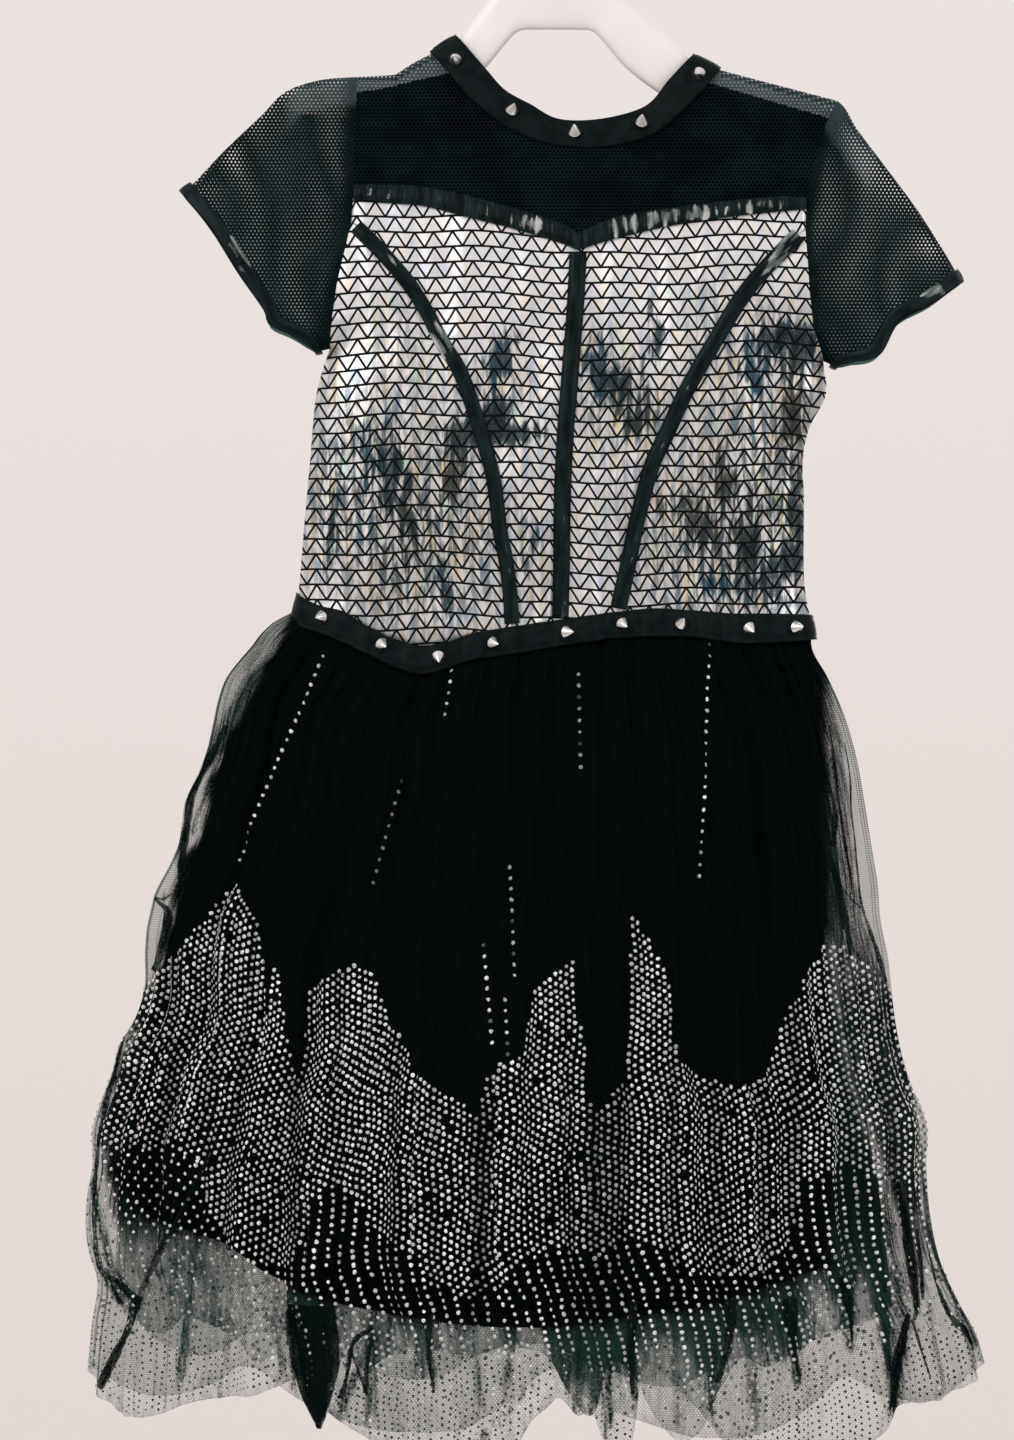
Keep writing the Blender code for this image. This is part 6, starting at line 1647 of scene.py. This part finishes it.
def dot_rows(side, chance):
    """Dots in rows on one half of the skirt: angle, angle with every other thin row moved half a step, drop, and
    whether the dot is in a thin row, which goes on below the dense ones."""
    fine = np.linspace(-math.pi / 2, math.pi / 2, 1600) + (0.0 if side < 0 else math.pi)
    columns = np.arange(0.006, 0.995, 1.0 / DOT_COLUMNS)
    rows = []
    drop = DOTS_TOP
    while drop < DOTS_LOW:
        row = len(rows)
        length = lengths_along(outer_places(fine, np.full(fine.shape, drop)))
        share = columns + (0.5 / DOT_COLUMNS if row % 2 else 0.0)
        share = share + 0.0012 * np.sin(drop / 17.0 + 40.0 * share) + chance.normal(0.0, 0.00045, len(share))
        along = share * length[-1]
        step = 0.5 / DOT_COLUMNS * length[-1] if row % 4 == 2 else 0.0
        wave = 1.2 * np.sin(along / 31.0 + 0.4) + 0.7 * np.sin(along / 12.0 + row * 0.11)
        rows.append((np.interp(along, length, fine), np.interp(along + step, length, fine),
                     drop + wave + chance.normal(0.0, 0.3, len(along)), np.full(len(along), row % 2 == 0)))
        drop += DOT_ROW - 0.35 * min(max((drop - 420.0) / 60.0, 0.0), 1.0)
    return [np.concatenate(part) for part in zip(*rows)]


def dot_tones(side, angle, places, full, luck):
    """How bright each dot is by what is behind it and where it lies, as painted shade, and which ones hang below the
    inner net.
    """
    x, z = places[:, 0], places[:, 2]
    behind = lining_behind(places)
    over_inner = (behind < 0.5) & (z > hem_of("inner", angle) - 2.0)
    over_dark = over_inner & (z > column(FINGERS, x) + 5.0)
    at_hem = (behind < 0.5) & ~over_inner
    # painted shade: dots over the inner net or at the hem are darker
    tone = np.where(over_inner, np.where(luck < np.where(x < LOOSE_SIDE, 0.55, 0.3), 0.1, 0.62 * full), full)
    tone = np.where(over_dark, np.where(luck < 0.08, 0.3, 0.92 * full), tone)
    tone = np.where(at_hem, np.where(luck > 0.9, 0.7, 0.02 if side < 0 else 0.3), tone)
    edge_left, edge_right = column(BLACK_EDGES, z), column(BLACK_EDGES, z, 0, 2)
    closed = (x > edge_left - 3.0) & (x < edge_right + 2.0)
    side_zone = (z > -888.0) & (behind < 0.5)
    # painted shade: dots at the black sides are darker
    tone = np.where(side_zone, np.where(closed, 0.94, 0.5) * full, tone)
    if side < 0:
        for top_x, low_x, half_width, veil in VEILS:
            line = top_x + (low_x - top_x) * within_one((-660.0 - z) / 340.0)
            # painted shade of a veiling fold
            tone = tone * (1 - veil * soft_peak(x - line, half_width))
    return tone, at_hem


def build_dots():
    for name, side in (("front", -1), ("back", 1)):
        chance = np.random.RandomState(17 + side)
        dense_from, dense_to = (DOTS_FROM, DOTS_TO) if side < 0 else (BACK_DOTS_FROM, BACK_DOTS_TO)
        angle, staggered, drop, thin = dot_rows(side, chance)
        places = outer_places(angle, drop)
        x, z = places[:, 0], places[:, 2]
        lower = column(dense_to, x)
        below = (z < lower) & (x < LOOSE_SIDE) & (z > -925.0) & (side < 0)
        angle = np.where(below, staggered, angle)
        places = outer_places(angle, drop)
        x, z = places[:, 0], places[:, 2]
        hem = hem_of("outer", angle)
        upper, lower = column(dense_from, x), column(dense_to, x)
        ragged = chance.uniform(-3.0, 3.0, len(x))
        pale_hem = (z < column(FINGERS, x) - 4.0) & (lining_behind(places) < 0.5) & (side < 0)
        keep = (z < upper) & ((z > lower + ragged) | thin | pale_hem) & (z > hem + 2.5)
        keep &= chance.uniform(0.0, 1.0, len(x)) > 0.012
        if side > 0:
            keep &= (lining_behind(places) > 0.5) | (chance.uniform(0.0, 1.0, len(x)) < 0.25)
        angle, drop, z, x = angle[keep], drop[keep], z[keep], x[keep]

        luck = chance.uniform(0.0, 1.0, len(z))
        full = 0.9 * chance.uniform(0.66, 1.12, len(z)) + 0.35 * (luck > 0.97)
        tone, at_hem = dot_tones(side, angle, places[keep], full, luck)
        radius = DOT_RADIUS * chance.uniform(0.84, 1.14, len(z)) * np.where(at_hem, 0.68, 1.0)
        radius *= np.where((x < LOOSE_SIDE) & (z < column(dense_to, x)), 0.86, 1.0)

        for of_side, x1, z1, x2, z2, pitch, bright in DOT_FILES:
            if of_side == side:
                share = np.arange(0.0, 1.0, pitch / math.hypot(x2 - x1, z2 - z1))
                share = share + chance.normal(0.0, 0.002, len(share))
                turn, height = place_of(side, x1 + (x2 - x1) * share, z1 + (z2 - z1) * share)
                angle, drop = np.concatenate([angle, turn]), np.concatenate([drop, height])
                faint = np.where(chance.uniform(0.0, 1.0, len(share)) < 0.12, 0.12, 1.0)
                tone = np.concatenate([tone, bright * faint * chance.uniform(0.6, 1.15, len(share))])
                radius = np.concatenate([radius, 1.4 * chance.uniform(0.8, 1.1, len(share))])

        places = outer_places(angle, drop)
        beside = outer_places(angle + 0.0008, drop)
        below = outer_places(angle, drop + 0.4)
        across = directed(beside - places)
        outward = directed(np.cross(across, places - below))
        outward *= np.where(outward[:, 1] * side < 0, -1.0, 1.0)[:, None]
        item = dot_mesh("glitter_dots_" + name, places + 0.25 * outward, outward, across, radius, within_one(tone))
        dress(item, [])


# Hanger and studs.

def build_hanger():
    rows = smooth(HANGER, 3)
    deselect()
    x, top, bottom, half = rows[0]
    bpy.ops.mesh.primitive_circle_add(vertices=24, radius=MM, location=(x * MM, 0, (top + bottom) / 2 * MM),
                                      rotation=(0, math.pi / 2, 0), fill_type="NGON")
    item = bpy.context.object
    item.name = "hanger_plastic"
    bpy.ops.object.transform_apply()
    for corner in item.data.vertices:
        across, up = corner.co.y / MM, (corner.co.z / MM - (top + bottom) / 2)
        corner.co.y = math.copysign(abs(across) ** 0.6, across) * half * MM
        corner.co.z = ((top + bottom) / 2 + math.copysign(abs(up) ** 0.6, up) * (top - bottom) / 2) * MM
    mode("EDIT")
    bpy.ops.mesh.select_all(action="SELECT")
    for before, after in zip(rows, rows[1:]):
        middle = (before[1] + before[2]) / 2
        shift = (after[1] + after[2]) / 2 - middle
        bpy.ops.mesh.extrude_region_move(
            TRANSFORM_OT_translate={"value": ((after[0] - before[0]) * MM, 0.0, shift * MM)})
        size = (1.0, after[3] / before[3], (after[1] - after[2]) / (before[1] - before[2]))
        bpy.ops.transform.resize(value=size, center_override=(after[0] * MM, 0.0, (middle + shift) * MM))
    bpy.ops.mesh.select_all(action="SELECT")
    bpy.ops.mesh.normals_make_consistent(inside=False)
    mode("OBJECT")

    bend = np.radians(np.linspace(-66.0, 206.0, 40))
    path = [(0.0, -62.0), (0.2, -56.0), (0.8, -50.0), (3.4, -43.6)]
    path += [(HOOK_RADIUS * math.cos(turn), HOOK_RADIUS * math.sin(turn) - 20.0) for turn in bend]
    line = bpy.data.curves.new("hook_line", "CURVE")
    line.dimensions = "3D"
    line.bevel_depth = HOOK_ROD * MM
    line.bevel_resolution = 4
    line.use_fill_caps = True
    spline = line.splines.new("POLY")
    spline.points.add(len(path) - 1)
    for point, (x, z) in zip(spline.points, path):
        point.co = (x * MM, 0.0, z * MM, 1.0)
    hook = new_item("hook_line", line)
    pick(hook)
    bpy.ops.object.convert(target="MESH")
    pick(item)
    join = item.modifiers.new("join_hook", "BOOLEAN")
    join.operation = "UNION"
    join.solver = "EXACT"
    join.object = hook
    apply_modifiers(item)
    bpy.data.objects.remove(hook, do_unlink=True)
    pick(item)
    bpy.ops.object.shade_smooth_by_angle(angle=math.radians(40))
    item.data.materials.clear()
    item.data.materials.append(PLASTIC)
    dress(item, ["hanger"])


def build_studs():
    for word, rows in (("collar", COLLAR_STUDS), ("waist", WAIST_STUDS)):
        for number, (x, z, sideways, up) in enumerate(rows, 1):
            place, outward = on_body(np.array([[[x, z]]]), -1)
            axis = Vector(outward[0, 0])
            axis += Vector((math.tan(math.radians(sideways)), 0.0, math.tan(math.radians(up))))
            axis.normalize()
            lean = math.acos(min(1.0, axis.dot(Vector(outward[0, 0]))))
            foot = Vector(place[0, 0] + (3.2 + 0.75 * STUD_BASE * math.sin(lean)) * outward[0, 0])
            deselect()
            bpy.ops.mesh.primitive_cone_add(vertices=32, radius1=STUD_BASE * MM, radius2=0.35 * MM,
                                            depth=STUD_HEIGHT * MM)
            stud = bpy.context.object
            stud.name = "%s_stud_%d_metal" % (word, number)
            mode("EDIT")
            bpy.ops.mesh.select_all(action="DESELECT")
            mode("OBJECT")
            for face in stud.data.polygons:
                face.select = face.normal.z < -0.9
            mode("EDIT")
            bpy.ops.mesh.extrude_region_move(TRANSFORM_OT_translate={"value": (0.0, 0.0, -0.6 * MM)})
            bpy.ops.mesh.inset(thickness=2.4 * MM)
            bpy.ops.mesh.extrude_region_move(TRANSFORM_OT_translate={"value": (0.0, 0.0, -2.2 * MM)})
            mode("OBJECT")
            edge = stud.modifiers.new("soft_edge", "BEVEL")
            edge.width = 0.22 * MM
            edge.segments = 2
            edge.limit_method = "ANGLE"
            edge.angle_limit = math.radians(30)
            apply_modifiers(stud)
            bpy.ops.object.shade_smooth_by_angle(angle=math.radians(35))
            stud.rotation_euler = axis.to_track_quat("Z", "Y").to_euler()
            stud.location = (foot + axis * STUD_HEIGHT / 2) * MM
            bpy.ops.object.transform_apply()
            stud.data.materials.clear()
            stud.data.materials.append(METAL)
            dress(stud, ["%s_stud_%d" % (word, number)])


# The room.

def build_room():
    deselect()
    bpy.ops.mesh.primitive_plane_add(size=1.8, location=(-0.03, 0.0, -1.4))
    floor = bpy.context.object
    floor.name = "floor"
    bpy.ops.object.transform_apply()
    floor.data.materials.append(FLOOR)

    world = bpy.data.worlds.new("pale_room")
    bpy.context.scene.world = world
    world.use_nodes = True
    s = Shader(world.node_tree)
    background = world.node_tree.nodes["Background"]
    parts = s.directions(s.add("TexCoord").outputs["Generated"])
    lit = s.mix(s.ramp(parts[2], -0.7, 0.8), (0.5, 0.48, 0.47), (0.95, 0.93, 0.92))
    side = s.mix(s.ramp(parts[0], -0.9, 0.9), (1.0, 1.0, 1.0), (0.86, 0.86, 0.88))
    lit = s.mix(1.0, lit, side, "MULTIPLY")
    seen = s.mix(s.ramp(parts[2], -0.16, 0.14), (0.765, 0.69, 0.655), (0.83, 0.765, 0.745))
    ray = s.add("LightPath")
    s.join(s.mix(ray.outputs["Is Camera Ray"], lit, seen), background.inputs["Color"])
    background.inputs["Strength"].default_value = 1.0

    for name, place, size, power in (
        ("window_left", (-1.6, -2.4, 0.9), 1.6, 34.0),
        ("window_right", (1.9, -2.2, 0.2), 1.4, 16.0),
        ("back_fill", (0.4, 2.4, 0.6), 2.0, 20.0),
    ):
        lamp = bpy.data.lights.new(name, "AREA")
        lamp.size = size
        lamp.energy = power
        item = new_item(name, lamp)
        item.location = place
        item.rotation_euler = (Vector((-0.03, 0.0, -0.55)) - Vector(place)).to_track_quat("-Z", "Y").to_euler()

    camera = bpy.data.cameras.new("front_camera")
    camera.lens = 150.0
    camera.sensor_width = 36.0
    camera.clip_end = 50.0
    item = bpy.data.objects.new("front_camera", camera)
    item.location = (-0.035, -3.96, -0.5502)
    item.rotation_euler = (math.pi / 2, 0.0, 0.0)
    bpy.context.scene.collection.objects.link(item)
    bpy.context.scene.camera = item
    bpy.context.scene.view_settings.view_transform = "Standard"


build_hanger()
build_yoke()
build_collar()
build_sleeves()
build_bodice()
build_strips()
build_trim()
build_waistband()
build_skirt()
build_dots()
build_studs()
build_room()
